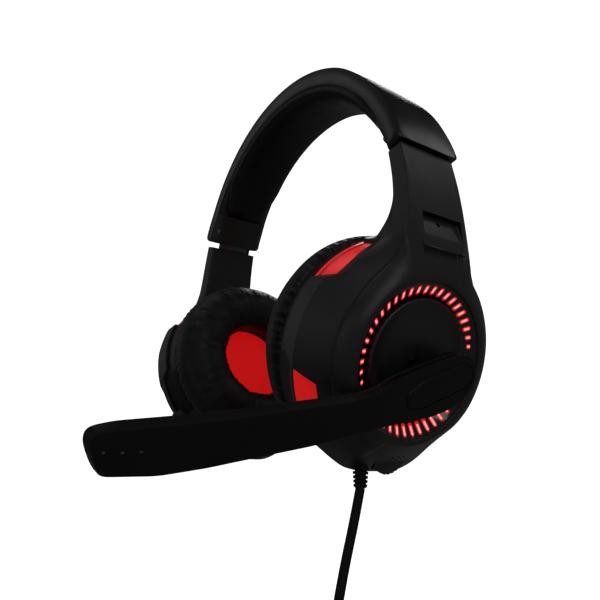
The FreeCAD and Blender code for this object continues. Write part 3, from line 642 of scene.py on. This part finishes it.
# The angles in degrees where the chin's flat facet starts, and those of the outline's sharp corners.
CHIN_START = (251.0, 254.0)
CORNERS = (76, 104, 118, 140, 141.5, *CHIN_START, 412, 420)
LIP_EDGE = (51.42, 34.2)
SHELL_WALL, SEAM = 1.8, 0.34
SCOOP_TOP, SCOOP_LONG, SCOOP_DEEP = -83.0, 20.5, 3.0
WINDOW = [(41.9, -14.6), (41.9, -26.5), (24.0, -26.5), (24.0, -4.2), (26.6, -4.6), (28.6, -6.4), (33.6, -10.3)]
# Across the arm's back, its cover's three layers as (further from the face, in from the edge).
ARM_COVER = ((-1.6, 0.6), (0.6, 0.5), (0.95, 1.0))


def sunk(z):
    """How far the arm's face is drawn in below the band at this height."""
    return 0.7 * float(smoothstep(-102, -84, z))


def arm_depth(z):
    return ARM_DEEP - 1.0 * float(smoothstep(-85, -55, z))


def bow(y, z, deep=0.0):
    """A point of the arm's bowed face, or that far inside it, in the cup's frame."""
    deep = deep + sunk(z)
    middle_x = BAND_R * math.cos(END_ANGLE) - BOW_R * math.cos(END_ANGLE)
    middle_z = BAND_CENTRE + (BAND_R - BOW_R) * math.sin(END_ANGLE)
    angle = math.asin((z - middle_z) / BOW_R)
    radius = BOW_R - deep
    return into_cup(np.array([middle_x + radius * math.cos(angle), y, middle_z + radius * math.sin(angle)]))


def ring_point(off, radius, degrees):
    turn = math.radians(degrees)
    return np.array([off, radius * math.cos(turn), radius * math.sin(turn)])


def shell_stations():
    """Columns round the shell: the lip's angle, the ridge, the flank's lower edge and the rim."""
    rows = []

    def arm(y, z, degrees, flare=0.0):
        deep = arm_depth(z)
        inner = bow(y * 0.95 - 0.85 * flare, z, deep + flare)
        rows.append((degrees, bow(y, z), bow(y - 0.15 * flare, z, deep + 0.25 * flare), inner))

    for index, (z, y) in enumerate(REAR_EDGE[::-1]):
        arm(y, z, 67 + 1.8 * index)
    top = FRONT_EDGE[-1][0]
    for share in np.linspace(0, 1, 7)[1:-1]:
        arm(REAR_EDGE[0][1] * (1 - share) + FRONT_EDGE[-1][1] * share, top, 76 + 28 * share)
    for index, (z, y) in enumerate(FRONT_EDGE[::-1]):
        arm(y, z, 104 + 1.8 * index, FLARE[index])
    notch = [
        (118, (47.2, -19.8, 43.1), (38.0, -22.6, 44.4)),
        (124, (46.2, -20.9, 38.4), (38.1, -26.9, 39.6)),
        (131, (45.6, -24.5, 33.4), (38.2, -32.0, 34.6)),
        (140, (45.5, -29.5, 27.6), (38.6, -37.6, 28.0)),
    ]
    for degrees, ridge, flank in notch:
        direction = math.degrees(math.atan2(flank[2], flank[1]))
        out = float(np.interp(degrees, (118, 124, 131), (2.2, 1.0, 0.0)))
        rows.append((degrees, ridge, flank, ring_point(31.2 + out * 0.6, 45.6 + out, direction)))
    rows.append((141.5, (45.5, -30.2, 26.7), ring_point(34.8, 49.8, 149.6), ring_point(25.2, 49.3, 150.4)))
    rows.append((147, (45.6, -33.0, 22.8), ring_point(34.5, 50, 152.5), ring_point(25.2, 49.4, 152.5)))
    rows.append((158, (45.9, -38.0, 14.2), ring_point(34.5, 50, 160), ring_point(25.2, 49.4, 160)))
    for degrees in sorted([*np.linspace(168, 405, 80), *CHIN_START]):
        chin = 1.0 * float(smoothstep(240, 256, degrees)) + 1.9 * float(smoothstep(272, 287, degrees))
        chin *= float(1 - smoothstep(291, 325, degrees))
        rear = float(smoothstep(300, 340, degrees))
        ridge = ring_point(46.0 + 0.6 * rear, 40.9 + 1.6 * rear, degrees)
        flat = float(chin_flat(degrees))
        ridge = ridge * (1 - flat) + ring_point(44.3, 41.9, degrees) * flat
        rows.append((degrees, ridge, ring_point(34.5, 50.3 + chin, degrees),
                     ring_point(25.2, 49.4 + chin * 0.6, degrees)))
    rows.append((412, (47.2, 24.4, 34.4), ring_point(34.9, 49.6, 411), ring_point(25.2, 49.4, 411)))
    rows.append((420, (48.4, 20.2, 38.6), (39.8, 20.2, 38.9), ring_point(31.2, 45.6, 419)))
    return [(degrees, *[np.array(place) for place in places]) for degrees, *places in rows]


def chin_flat(degrees):
    """1 where the chin's flat facet is, and 0 elsewhere."""
    return smoothstep(*CHIN_START, degrees) * (1 - smoothstep(296, 322, degrees))


def dense_stations(rows, gap=2.2):
    """The stations with more put between those that stand far apart, and eased along the ring."""
    rows = rows + [(rows[0][0] + 360, *rows[0][1:])]
    out, fixed = [], []
    for here, there in zip(rows[:-1], rows[1:]):
        far = max(np.linalg.norm(there[k] - here[k]) for k in (1, 2))
        count = max(1, int(math.ceil(far / gap)))
        for share in np.arange(count) / count:
            fixed.append(share == 0 and here[0] in CORNERS)
            out.append([a * (1 - share) + b * share for a, b in zip(here, there)])
    degrees, *curves = (np.array(values) for values in zip(*out))
    free = ~np.array(fixed)
    for _ in range(5):
        for curve in curves:
            eased = 0.5 * curve + 0.25 * (np.roll(curve, 1, 0) + np.roll(curve, -1, 0))
            curve[free] = eased[free]
    return degrees, curves


def arc(start, control, end, share):
    return (1 - share) ** 2 * start + 2 * share * (1 - share) * control + share ** 2 * end


def inner_rings(edge, ridge, flank, rim):
    """The shell's inner face, a wall's thickness inside the outer one, from the rim back to the ridge."""
    along = np.roll(ridge, -1, 0) - np.roll(ridge, 1, 0)

    def outward(segment, toward):
        normal = np.cross(segment, along)
        normal /= np.maximum(np.linalg.norm(normal, axis=1), 1e-9)[:, None]
        return normal * np.sign(np.sum(normal * toward))

    def mitre(first, second):
        both = first + second
        return both * 2 / np.maximum(np.sum(both ** 2, axis=1), 1.2)[:, None]

    radial = ridge * np.array([0, 1, 1])
    face, side_wall = outward(ridge - edge, np.array([1, 0, 0])), outward(flank - ridge, radial)
    turned_in = (np.linalg.norm(rim - flank, axis=1) < 1.5)[:, None]
    foot = np.where(turned_in, -face, outward(rim - flank, radial))
    rings = [rim - SHELL_WALL * foot, flank - SHELL_WALL * mitre(side_wall, foot),
             ridge - SHELL_WALL * mitre(face, side_wall)]
    for ring in rings:
        for _ in range(2):
            ring[:] = 0.5 * ring + 0.25 * (np.roll(ring, 1, 0) + np.roll(ring, -1, 0))
    return rings


def cup_shell(side):
    """The cup's outer shell with its arm: a skin through the lip, the ridge and the flank's edge."""
    degrees, (ridge, flank, rim) = dense_stations(shell_stations())
    turns = np.radians(degrees)

    edge = around(*LIP_EDGE, turns)
    lip = (44.5, 31.95), (50.9, 31.95), (51.35, 32.3), (51.5, 33.1), LIP_EDGE
    rings = [around(off, radius, turns) for off, radius in lip]
    face, side_wall = ridge - edge, flank - ridge
    reach = np.linalg.norm(face, axis=1)[:, None]
    width = np.linalg.norm(side_wall, axis=1)[:, None]
    along = face / reach + side_wall / width
    along /= np.linalg.norm(along, axis=1)[:, None]
    arm = (smoothstep(40, 66, degrees % 360) * (1 - smoothstep(108, 134, degrees % 360)))[:, None]
    straight = np.maximum(arm, chin_flat(degrees)[:, None])
    outward = np.zeros_like(edge)
    outward[:, 0] = 2 * face[:, 2] ** 2 / (8 * BOW_R) * arm[:, 0]
    roll = around(LIP_EDGE[0] - 0.05, 37.6, turns)
    rounded_face = 0.35 * (ridge - along * reach / 2) + 0.65 * roll
    face_control = straight * ((edge + ridge) / 2 + outward) + (1 - straight) * rounded_face
    wall_control = straight * (ridge + flank) / 2 + (1 - straight) * (ridge + along * width / 2)
    groove = (SEAM * (1 - smoothstep(222, 232, degrees) * (1 - smoothstep(325, 335, degrees))))[:, None]
    for share in (0.06, 0.14, 0.24, 0.35, 0.47, 0.59, 0.71, 0.82):
        rings.append(arc(edge, face_control, ridge, share))
    for gap, deep in ((0.55, 0.0), (0.16, groove), (-0.16, groove), (-0.55, 0.0)):
        if gap > 0:
            ring = arc(edge, face_control, ridge, 1 - gap / reach)
        else:
            ring = arc(ridge, wall_control, flank, -gap / width)
        ring = ring - deep * (0.75 * np.array([1, 0, 0]) + 0.5 * ring * np.array([0, 1, 1]) / 45)
        rings.append(ring)
    for share in (0.15, 0.3, 0.45, 0.6, 0.74, 0.86, 0.95):
        rings.append(arc(ridge, wall_control, flank, share))
    for share in (0, 0.06, 0.5, 0.92, 1):
        rings.append(flank * (1 - share) + rim * share)
    rings += inner_rings(edge, ridge, flank, rim)
    rings += [around(off, radius, turns) for off, radius in ((49.0, 34.6), (49.0, 33.75), (44.5, 33.75))]
    shapes = [scoop_solid(1.3, 1.3, -1.0), scoop_solid(0, 0, 9), window_tool()]
    shapes += ([wheel_tool()] if side == "left" else []) + [scoop_catch(), chin_holes()]
    shell = skin([from_cup(ring) for ring in rings], closed=True)
    piece = add_to_cup(side, "shell", shell, BLACK, "black_plastic", "outer_shell")
    pad, *tools = (make_mesh("tool", *shape, BLACK, side) for shape in shapes)
    carve(piece, tools, 24, pad)


def scoop_solid(grow, behind, out):
    """The arm's thumb scoop, deepest at its top and fading downwards; or the pad of wall behind it."""
    rings = []
    for drop in np.linspace(-grow, SCOOP_LONG * (0.72 if grow else 1), 22):
        share = min(max(drop / SCOOP_LONG, 0), 1)
        z = SCOOP_TOP - drop
        face = -79.8 + math.sqrt(BOW_R ** 2 - (z + 101) ** 2) - sunk(z)
        floor = face - SCOOP_DEEP * (1 - share) ** 1.5 + 0.9 * share ** 2 - behind
        left, right = -9.0 + 1.2 * share ** 2 - grow, 13.2 + 1.2 * share + grow
        rings.append(np.array([(floor, left + 0.5, z), (floor, right - 0.5, z), (floor + 0.5, right, z),
                               (face + out, right, z), (face + out, left, z), (floor + 0.5, left, z)]))
    return skin(rings, caps=(True, True))


def scoop_catch():
    """The small catch hole under the scoop's top edge."""
    outline = small_hole((1.0, -86.6), 1.2, 1.0, 24)
    return skin([np.column_stack([np.full(24, x), outline]) for x in (91.6, 99.0)], caps=(True, True))


def chin_holes():
    """A patch of fine sound holes in the chin's flat facet."""
    middles = [(1.6 + 3.1 * column + 0.9 * row, -41.4 - 2.0 * row + 0.35 * column)
               for row in range(3) for column in range(3)]
    return joined([plate(small_hole(middle, 0.55, 0.55, 10), [(38.5, 0), (50, 0)]) for middle in middles])


def window_tool():
    """The front window, right through the shell."""
    return skin([from_cup([(off, back, up) for off, up in WINDOW]) for back in (-62, -30)], caps=(True, True))


def wheel_tool():
    """The slot in the chin that the volume wheel stands in."""
    return plate(small_hole((5, -41.5), 9.9, 9.9, 40), [(36.2, 0), (40.4, 0)])


def bridge(side):
    """The drum's rim where it runs on behind the arm."""
    profile = [(41.2, 44.4), (38.4, 47.4), (34.6, 49.7), (28.0, 49.6), (27.2, 49.1), (27.2, 47.6), (34.2, 47.4),
               (41.0, 43.9)]
    add_to_cup(side, "shell_bridge", strip(profile, 52, 118, 40), BLACK, "black_plastic")


def all_round(count=240):
    """Angles round the cup, in radians and in degrees."""
    turns = np.linspace(0, TAU, count, endpoint=False)
    return turns, np.degrees(turns)


def housing_skirt(side):
    """The housing's outer band, which steps down round the notch and up beside the window."""
    turns, degrees = all_round()
    notch = smoothstep(54, 56, degrees) * (1 - smoothstep(150, 151.5, degrees))
    window = smoothstep(184, 192, degrees) * (1 - smoothstep(214, 220, degrees))
    top, wider = 25.0 - 2.8 * notch + 7.6 * window, 0.7 * window - 0.6 * notch
    profile = [(18.5, 41.0), (18.5, 45.8), (19.1, 46.6), (21.6, 47.2), (top, 47.7 + wider), (top, 46.4 + wider),
               (21.0, 44.2)]
    points, faces = skin([from_cup(around(off, radius, turns)) for off, radius in profile], closed=True)
    # Beside the window and round the notch the skirt's faces take the darker, matt rubber finish: it paints shade
    # into these recesses and also damps their glare.
    painted_shade_and_matt = np.maximum(window, notch) > 0.4
    slots = [int(painted_shade_and_matt[face[0] % len(turns)]) for face in faces]
    add_to_cup(side, "housing_skirt", (points, faces), [DARK, RUBBER], "black_plastic", slots=slots)
    edge = [(31.0, 48.6), (31.0, 49.2), (31.5, 49.7), (33.4, 49.8), (33.8, 49.4), (33.8, 48.6)]
    add_to_cup(side, "window_edge", strip(edge, 187, 217, 30), BLACK, "black_plastic")


def window_pane(side):
    """The red pane that sits just under the shell's face in the front window."""
    outer, inner = [], []
    for off in np.linspace(33.9, 41.75, 9):
        high = np.interp(off, (33.6, 41.9), (-10.5, -14.8))
        radius = np.interp(off, (33.9, 36.0, 38.5, 41.75), (49.6, 48.5, 46.7, 43.9))
        for up in np.linspace(high, -26, 10):
            for ring, size in ((outer, radius), (inner, radius - 1.4)):
                ring.append(cup(off, -math.sqrt(size ** 2 - up ** 2), up))
    faces = []
    for row in range(8):
        for column in range(9):
            a = row * 10 + column
            faces.append((a, a + 1, a + 11, a + 10))
            faces.append((a + 90, a + 100, a + 101, a + 91))
    border = [i for i in range(9)] + [10 * r + 9 for r in range(8)] + [89 - i for i in range(9)]
    border += [10 * r for r in range(8, 0, -1)]
    for here, there in zip(border, border[1:] + border[:1]):
        faces.append((here, here + 90, there + 90, there))
    ease_edges(add_to_cup(side, "window_pane", (outer + inner, faces), RED, "red_plastic"), 0.35)


def accent_barrel(side):
    """The coloured ring inside the cup, raised where it shows in the notch, with a dark line along its rim."""
    turns, degrees = all_round()
    low = 1.6 * (1 - smoothstep(102, 104, degrees) * (1 - smoothstep(150.5, 152.5, degrees)))
    bore = 42.2
    profile = [(22.45, bore), (22.45, 46.6), (23.0, 47.0), (25.2, 47.0), (25.5, 46.7), (32.2, 46.2), (38.0, 44.2),
               (38.0, bore)]
    rings = [from_cup(around(off, np.maximum(radius - low, bore), turns)) for off, radius in profile]
    add_to_cup(side, "accent_barrel", skin(rings, closed=True), RED, "red_plastic", "accent_ring", sharp=30)
    trim = [(25.2, 46.5), (25.2, 47.08), (25.75, 46.85), (25.75, 46.5)]
    add_to_cup(side, "notch_trim", strip(trim, 104, 150.5, 70), RED_DEEP, "red_plastic", sharp=30)


def arm_skin(side):
    """The cover that closes the arm towards the head."""
    heights = np.linspace(-53.3, -94.0, 26)
    rear_z, rear_y = zip(*REAR_EDGE[::-1])
    front_z, front_y = zip(*FRONT_EDGE)
    rings = []
    for more, less in ARM_COVER:
        ring = [bow(np.interp(z, rear_z, rear_y) - less, z, arm_depth(z) + more) for z in heights]
        ring += [bow(np.interp(z, front_z, front_y) + less, z, arm_depth(z) + more) for z in heights[::-1]]
        rings.append(from_cup(ring))
    count = len(heights)
    points, faces = skin(rings)
    for start, step in ((0, 1), (2 * 2 * count, -1)):
        for i in range(count - 1):
            quad = (start + i, start + i + 1, start + 2 * count - 2 - i, start + 2 * count - 1 - i)
            faces.append(quad[::step])
    add_to_cup(side, "arm_skin", (points, faces), BLACK, "black_plastic", "arm_cover", sharp=30)


# ---- cushions

CUSHION = [(0.0, 31.0), (-0.2, 35.0), (0.5, 39.0), (2.8, 43.3), (6.8, 46.7), (11.5, 48.2), (15.6, 48.0),
           (17.9, 46.0), (18.4, 40.0), (18.4, 28.0), (17.4, 23.2), (13.6, 20.8), (8.6, 20.6), (4.0, 22.2),
           (1.2, 26.2)]
CUSHION_FOLDS = {"left": ((96, 2.2), (205, 2.6)), "right": ((62, 2.4), (118, 2.2), (146, 3.0), (247, 2.6))}


def closed_curve(corners, count):
    """A smooth closed curve near its corners, evenly stepped along its parameter."""
    corners = np.array(corners, float)
    out = []
    for t in np.linspace(0, len(corners), count, endpoint=False):
        i = int(t)
        f = t - i
        a, b, c = corners[(i - 1) % len(corners)], corners[i % len(corners)], corners[(i + 1) % len(corners)]
        out.append((a * (1 - f) ** 2 + b * (1 + 2 * f - 2 * f * f) + c * f * f) / 2)
    return np.array(out)


def cushion(side):
    """A ring of foam in a leatherette cover, gathered along its outer and inner seams."""
    seed = np.random.default_rng(11 if side == "left" else 23)
    section = closed_curve(CUSHION, 90)
    centre = np.array([9.2, 34.4])
    angles = np.linspace(0, TAU, 420, endpoint=False)

    def ripple(low, high, count):
        waves = [(int(seed.integers(low, high)), seed.uniform(0, TAU), seed.uniform(0.4, 1))
                 for _ in range(count)]
        total = sum(size * np.sin(n * angles + phase) for n, phase, size in waves)
        return total / math.sqrt(sum(size ** 2 for n, phase, size in waves) / 2) / 2

    fine, coarse, slow = ripple(58, 96, 7), ripple(30, 55, 6), ripple(4, 12, 5)
    inner_fine, face = ripple(40, 70, 7), ripple(26, 48, 6)
    folds = np.zeros(len(angles))
    for place, wide in CUSHION_FOLDS[side]:
        apart = (np.degrees(angles) - place + 180) % 360 - 180
        folds += np.exp(-(apart / wide) ** 2)
    rings = []
    for place in section:
        off, radius = place
        out = place - centre
        out /= np.linalg.norm(out)
        outer = math.exp(-((off - 16.2) / 3.4) ** 2) * (radius > 40)
        front = math.exp(-((radius - 42.5) / 3.2) ** 2) * (off < 6)
        inner = math.exp(-((radius - 22.0) / 4.2) ** 2) * (off < 17.8)
        crown = math.exp(-((radius - 35.0) / 8.0) ** 2) * (off < 6)
        move = outer * (0.50 * fine + 0.30 * coarse) + front * (0.20 * coarse + 0.12 * fine)
        move += inner * (0.22 * inner_fine + 0.16 * coarse) + crown * (0.10 * face + 0.22 * slow) + 0.25 * slow
        move -= folds * (0.9 * math.exp(-((off - 3.0) / 6.0) ** 2) * (20 < radius < 45))
        groove = 0.75 * math.exp(-((off - 16.9) / 0.55) ** 2) * (radius > 40)
        groove += 0.45 * math.exp(-((radius - 44.6) / 0.7) ** 2) * (off < 6)
        move = move - groove
        rings.append(from_cup(around(off + out[0] * move, radius + out[1] * move, angles)))
    piece = add_to_cup(side, "ear_cushion", skin(rings, closed=True), LEATHER, "leatherette", "cushion", sharp=80)


def speaker_cloth(side):
    """Red acoustic cloth, slightly domed over the driver."""
    profile = [(20.9 - 0.9 * math.cos(min(radius / 24, 1) * math.pi / 2), radius)
               for radius in (0.2, 6, 12, 17, 21, 25, 29, 32, 33.6, 34.0)] + [(21.35, 34.0), (21.35, 0.2)]
    shape = skin([from_cup(circle(off, radius, 90)) for off, radius in profile], caps=(True, True))
    add_to_cup(side, "speaker_screen", shape, CLOTH, "red_cloth", "speaker_cloth", sharp=70)


# ---- lights

# The light bars' pitch in degrees, their middle's radius, and their length and width.
SLOT_PITCH, LIGHT_R, SLOT_LONG, SLOT_WIDE = 8.0, 28.8, 5.4, 2.3
# Each run of bars as (first angle, number).
SLOT_RUNS = ((18, 24), (247, 11))


def cone_off(radius):
    """The bezel's conical face."""
    return 47.0 + (radius - 25.9) * 3.5 / (31.7 - 25.9)


def slot_length(degrees):
    """The bars' length, shorter towards the rear in the upper run."""
    if degrees >= SLOT_RUNS[1][0]:
        return SLOT_LONG
    return SLOT_LONG * np.interp(degrees, (18, 60, 100, 150, 202), (0.62, 0.72, 0.72, 0.8, 0.9))


def light_ring(side):
    """The glossy bezel with its light bars: a red body with a hot middle in each."""
    profile = [(45.7, 25.6), (46.7, 25.6), (47.0, 25.9), (50.35, 31.35), (50.6, 31.8), (50.2, 31.9), (45.7, 31.9)]
    add_to_cup(side, "bezel", turned(profile, 160), GLOSS, "grey_gloss", "ring_bezel", sharp=40)
    parts, slots = [], []
    for first, count in SLOT_RUNS:
        for index in range(count):
            degrees = first + SLOT_PITCH * index
            turn = math.radians(degrees)
            long = slot_length(degrees) * min(1.0, 0.5 + 0.18 * min(index, count - 1 - index))
            for width, length, rise, slot in ((SLOT_WIDE + 0.9, long + 0.9, 0.02, 2), (SLOT_WIDE, long, 0.06, 0),
                                              (SLOT_WIDE * 0.38, long * 0.6, 0.14, 1)):
                outline = rounded([(-length / 2, -width / 2), (length / 2, -width / 2),
                                   (length / 2, width / 2), (-length / 2, width / 2)], width * 0.42, 4)
                rings = []
                for depth, less in ((1.2, 0), (0.06, 0), (0.0, 0.16)):
                    ring = []
                    for away, across in inset(outline, less):
                        radius = LIGHT_R + away
                        ring.append((cone_off(radius) + rise - depth,
                                     radius * math.cos(turn) - across * math.sin(turn),
                                     radius * math.sin(turn) + across * math.cos(turn)))
                    rings.append(from_cup(ring))
                parts.append(skin(rings, caps=(True, True)))
                slots += [slot] * len(parts[-1][1])
    add_to_cup(side, "light_bars", joined(parts), [GLOW, HOT, HALO], "light_red", "light_guide", slots=slots)


# ---- boom

BOOM_X, BOOM_THICK = 52.6, 6.6
BOOM = [(22, 2), (19, 6), (11.5, 7), (-4, 1), (-19.9, -5.6), (-27.3, -10.6), (-36, -12.8), (-53.9, -15.8),
        (-81, -20.5), (-102, -23.5), (-118, -25.5), (-126, -27.9), (-126.6, -32), (-123, -38.6),
        (-120, -40.6), (-103.5, -40.6), (-88.6, -38.4), (-71.4, -35), (-51.2, -31.1), (-22.6, -24),
        (2.7, -19.7), (14, -15.5), (21, -9.5), (24, -3)]
BOOM_PLATE = [(-11, -17), (-12.6, -11.5), (-5.8, -6), (15, 3), (20.6, 1), (21.5, -3), (19, -6.5),
              (-3.8, -16.6)]
BOOM_HOLES = ((-120.0, -34.6), (-114.8, -34.6), (-109.6, -34.3))


def boom_layer(drop):
    """The boom's outline with its long top edge lowered and its tip drawn back."""
    moved = []
    for number, (back, up) in enumerate(BOOM):
        if 2 <= number <= 10:
            far = float(smoothstep(-14, -42, back))
            up -= far * drop + (1 - far) * min(drop, 0.7) * (drop < 2.9)
        elif 13 < number < 20:
            up -= 0.9
        elif 11 <= number <= 13:
            back += drop * (0.9, 0.9, 0.5)[number - 11]
            up -= drop * (0.5, 0.2, 0.0)[number - 11]
        moved.append((back, up))
    return rounded(moved, 3.0, 5)


def layered(layers):
    """A closed solid from (off, top drop, inset) layers of the boom's outline."""
    rings = [(off, inset(boom_layer(drop), less)) for off, drop, less in layers]
    return skin([from_cup(np.column_stack([np.full(len(ring), off), ring])) for off, ring in rings],
                caps=(True, True))


def boom_shape():
    """The boom's two half shells, the inset plate and the sound holes."""
    top = BOOM_X + BOOM_THICK
    middle = BOOM_X + BOOM_THICK / 2
    plate_outline = rounded(BOOM_PLATE, 1.6, 5)
    front = make_mesh("boom_outer_half", *layered([
        (middle + 0.05, 1.0, 0.3), (middle + 0.3, 1.05, 0.0), (top - 0.35, 2.6, 0.0), (top - 0.1, 2.75, 0.1),
        (top, 2.85, 0.35)]), BOOM_BLACK, sharp=18)
    holes = [small_hole(place, 0.75, 0.6, 24) for place in BOOM_HOLES]
    cutters = [plate(hole, [(top - 1.4, 0), (top + 1, 0)]) for hole in holes]
    cutters.append(plate(plate_outline, [(top - 0.5, -0.3), (top + 1, -0.3)]))
    carve(front, [make_mesh("cutter", *joined(cutters), BOOM_BLACK)], 18)
    back = make_mesh("boom_inner_half", *joined([
        layered([(BOOM_X, 3.0, 0.9), (BOOM_X + 0.5, 2.7, 0.3), (BOOM_X + 1.2, 2.3, 0.0), (middle - 0.3, 1.05, 0.0),
                 (middle - 0.05, 1.0, 0.3)]),
        turned([(46.2, 0.4), (46.2, 3.0), (48.0, 2.2), (53.0, 2.0), (53.2, 0.4)], 64)]),
        BOOM_BLACK, sharp=18)
    inlay = make_mesh("boom_inlay", *plate(plate_outline, [
        (top - 0.6, 0.0), (top - 0.08, 0.0), (top + 0.12, 0.3)]), BOOM_BLACK, sharp=14)
    screens = [plate(inset(hole, 0.08), [(top - 1.2, 0), (top - 0.42, 0.0), (top - 0.3, 0.2)]) for hole in holes]
    add_to_boom("boom_port_screens", joined(screens), PORT, "black_plastic", sharp=30)
    add_to_boom("boom_dish", turned([
        (45.75, 0.3), (45.75, 25.2), (48.7, 25.25), (49.15, 25.0), (49.2, 24.5), (48.7, 23.6), (47.7, 21.8),
        (46.95, 19.0), (46.5, 14.5), (46.35, 8.0), (46.3, 0.3)]), DISH, "grey_gloss", "boom_hub", sharp=60)
    add_to_boom("boom_pivot_tube", turned([(37.0, 1.5), (37.0, 3.7), (37.3, 4.0), (45.6, 4.0), (45.9, 3.7),
                                           (45.9, 1.5)], 64), STEEL, "steel", "boom_shaft", sharp=30)
    for piece, node in ((front, "boom_front"), (back, "boom_back"), (inlay, "boom_plate")):
        settle(piece, "boom", "black_plastic", node)


# ---- carried-over CAD nodes

def dress_nodes():
    """Every CAD node that still shows gets its material, eased edges and smooth faces."""
    by_slot = {
        "black_plastic": DARK, "steel": STEEL, "screw_steel": SCREW, "leatherette": LEATHER,
        "red_plastic": RED, "red_cloth": CLOTH, "light_red": GLOW, "grey_gloss": DISH, "magnet": NICKEL,
        "film": FILM, "board": BOARD, "rubber": RUBBER, "metal": NICKEL,
    }
    eased = {"usb_plug": 0.9, "left_slider": 0.25, "right_slider": 0.25, "right_hub_cap": 0.3,
             "left_cup_housing": 0.4, "right_cup_housing": 0.4, "coil_tie": 0.4, "volume_wheel": 0.15}
    slots = {s["node"]: s["material_slot"] for s in frame["record"]["subparts"]}
    for name, thing in frame["nodes"].items():
        thing.data.materials.clear()
        thing.data.materials.append(BLACK if name == "volume_wheel" else by_slot[slots[name]])
        if thing.hide_render:
            continue
        for polygon in thing.data.polygons:
            polygon.material_index = 0
            polygon.use_smooth = True
        modify(thing, "WELD", merge_threshold=0.00001)
        if name in eased:
            ease_edges(thing, eased[name])
        thing.data.set_sharp_from_angle(angle=math.radians(30))


# ---- stage and light

def area_light(name, place, target, size, power):
    light = bpy.data.lights.new(name, "AREA")
    light.shape = "RECTANGLE"
    light.size, light.size_y = size
    light.energy = power
    lamp = bpy.data.objects.new(name, light)
    lamp.location = place
    lamp.rotation_euler = (Vector(target) - Vector(place)).to_track_quat("-Z", "Y").to_euler()
    bpy.context.scene.collection.objects.link(lamp)


FLOOR_GAP = 0.024


def backdrop():
    """A pale floor that rises into a pale backdrop all round, clear of the plug with the cups slid down."""
    low = cad_box[0][2] - FLOOR_GAP
    profile = [(0.0, 0.0), (1.6, 0.0), (2.2, 0.04), (2.8, 0.22), (3.2, 0.6), (3.4, 1.2), (3.5, 3.0), (3.0, 4.2),
               (0.0, 4.6)]
    turns = np.linspace(0, TAU, 64, endpoint=False)
    points, faces = skin([np.column_stack([radius * np.cos(turns), radius * np.sin(turns),
                                           np.full(len(turns), low + height)]) for radius, height in profile])
    mesh = bpy.data.meshes.new("backdrop")
    mesh.from_pydata(points.tolist(), [], faces)
    paper = new_material("white_paper", (0.9, 0.9, 0.9), 0.9, Specular_IOR_Level=0.1)
    mesh.materials.append(lit(paper, (1, 1, 1), 1.1))
    floor = bpy.data.objects.new("backdrop", mesh)
    bpy.context.scene.collection.objects.link(floor)
    for polygon in mesh.polygons:
        polygon.use_smooth = True
    floor.visible_glossy = False
    floor.visible_diffuse = False


def light_room():
    """Soft even light from all round, dimmer from above and behind, and the studio's area lights."""
    world = bpy.data.worlds.new("studio")
    world.use_nodes = True
    world.node_tree.nodes["Background"].inputs["Color"].default_value = (1, 1, 1, 1)
    nodes, links = world.node_tree.nodes, world.node_tree.links
    way = nodes.new("ShaderNodeTexCoord")
    toward = nodes.new("ShaderNodeVectorMath")
    toward.operation = "DOT_PRODUCT"
    toward.inputs[1].default_value = (-0.28, 0.60, 0.75)
    fade = nodes.new("ShaderNodeMapRange")
    for socket, value in (("From Min", 0.70), ("From Max", 0.92), ("To Min", 0.11), ("To Max", 0.02)):
        fade.inputs[socket].default_value = value
    links.new(way.outputs["Generated"], toward.inputs[0])
    links.new(toward.outputs["Value"], fade.inputs["Value"])
    links.new(fade.outputs["Result"], nodes["Background"].inputs["Strength"])
    bpy.context.scene.world = world
    middle = (0.02, 0, -0.09)
    area_light("key", (1.05, -0.1, 0.32), middle, (0.6, 0.6), 1.6)
    area_light("top", (-0.1, -0.3, 0.95), middle, (0.7, 0.4), 0.8)
    area_light("band_back_left", (-0.56, 0.57, 0.54), (0.05, 0, -0.02), (0.3, 0.3), 1.6)
    area_light("band_back_right", (0.34, 0.62, 0.60), (0.08, 0, -0.05), (0.25, 0.25), 0.3)
    area_light("left_strip", (-0.75, -0.65, 0.25), middle, (0.2, 0.8), 0.35)
    area_light("front", (0.45, -0.95, -0.05), middle, (0.7, 0.5), 0.5)
    bpy.context.scene.view_settings.view_transform = "Standard"


place_camera()
cable()
band_shell()
band_liner()
band_pad()
for side in ("left", "right"):
    cup_shell(side)
    bridge(side)
    cushion(side)
    speaker_cloth(side)
    light_ring(side)
    housing_skirt(side)
    window_pane(side)
    accent_barrel(side)
    arm_skin(side)
    band_end(side)
boom_shape()
dress_nodes()
backdrop()
light_room()
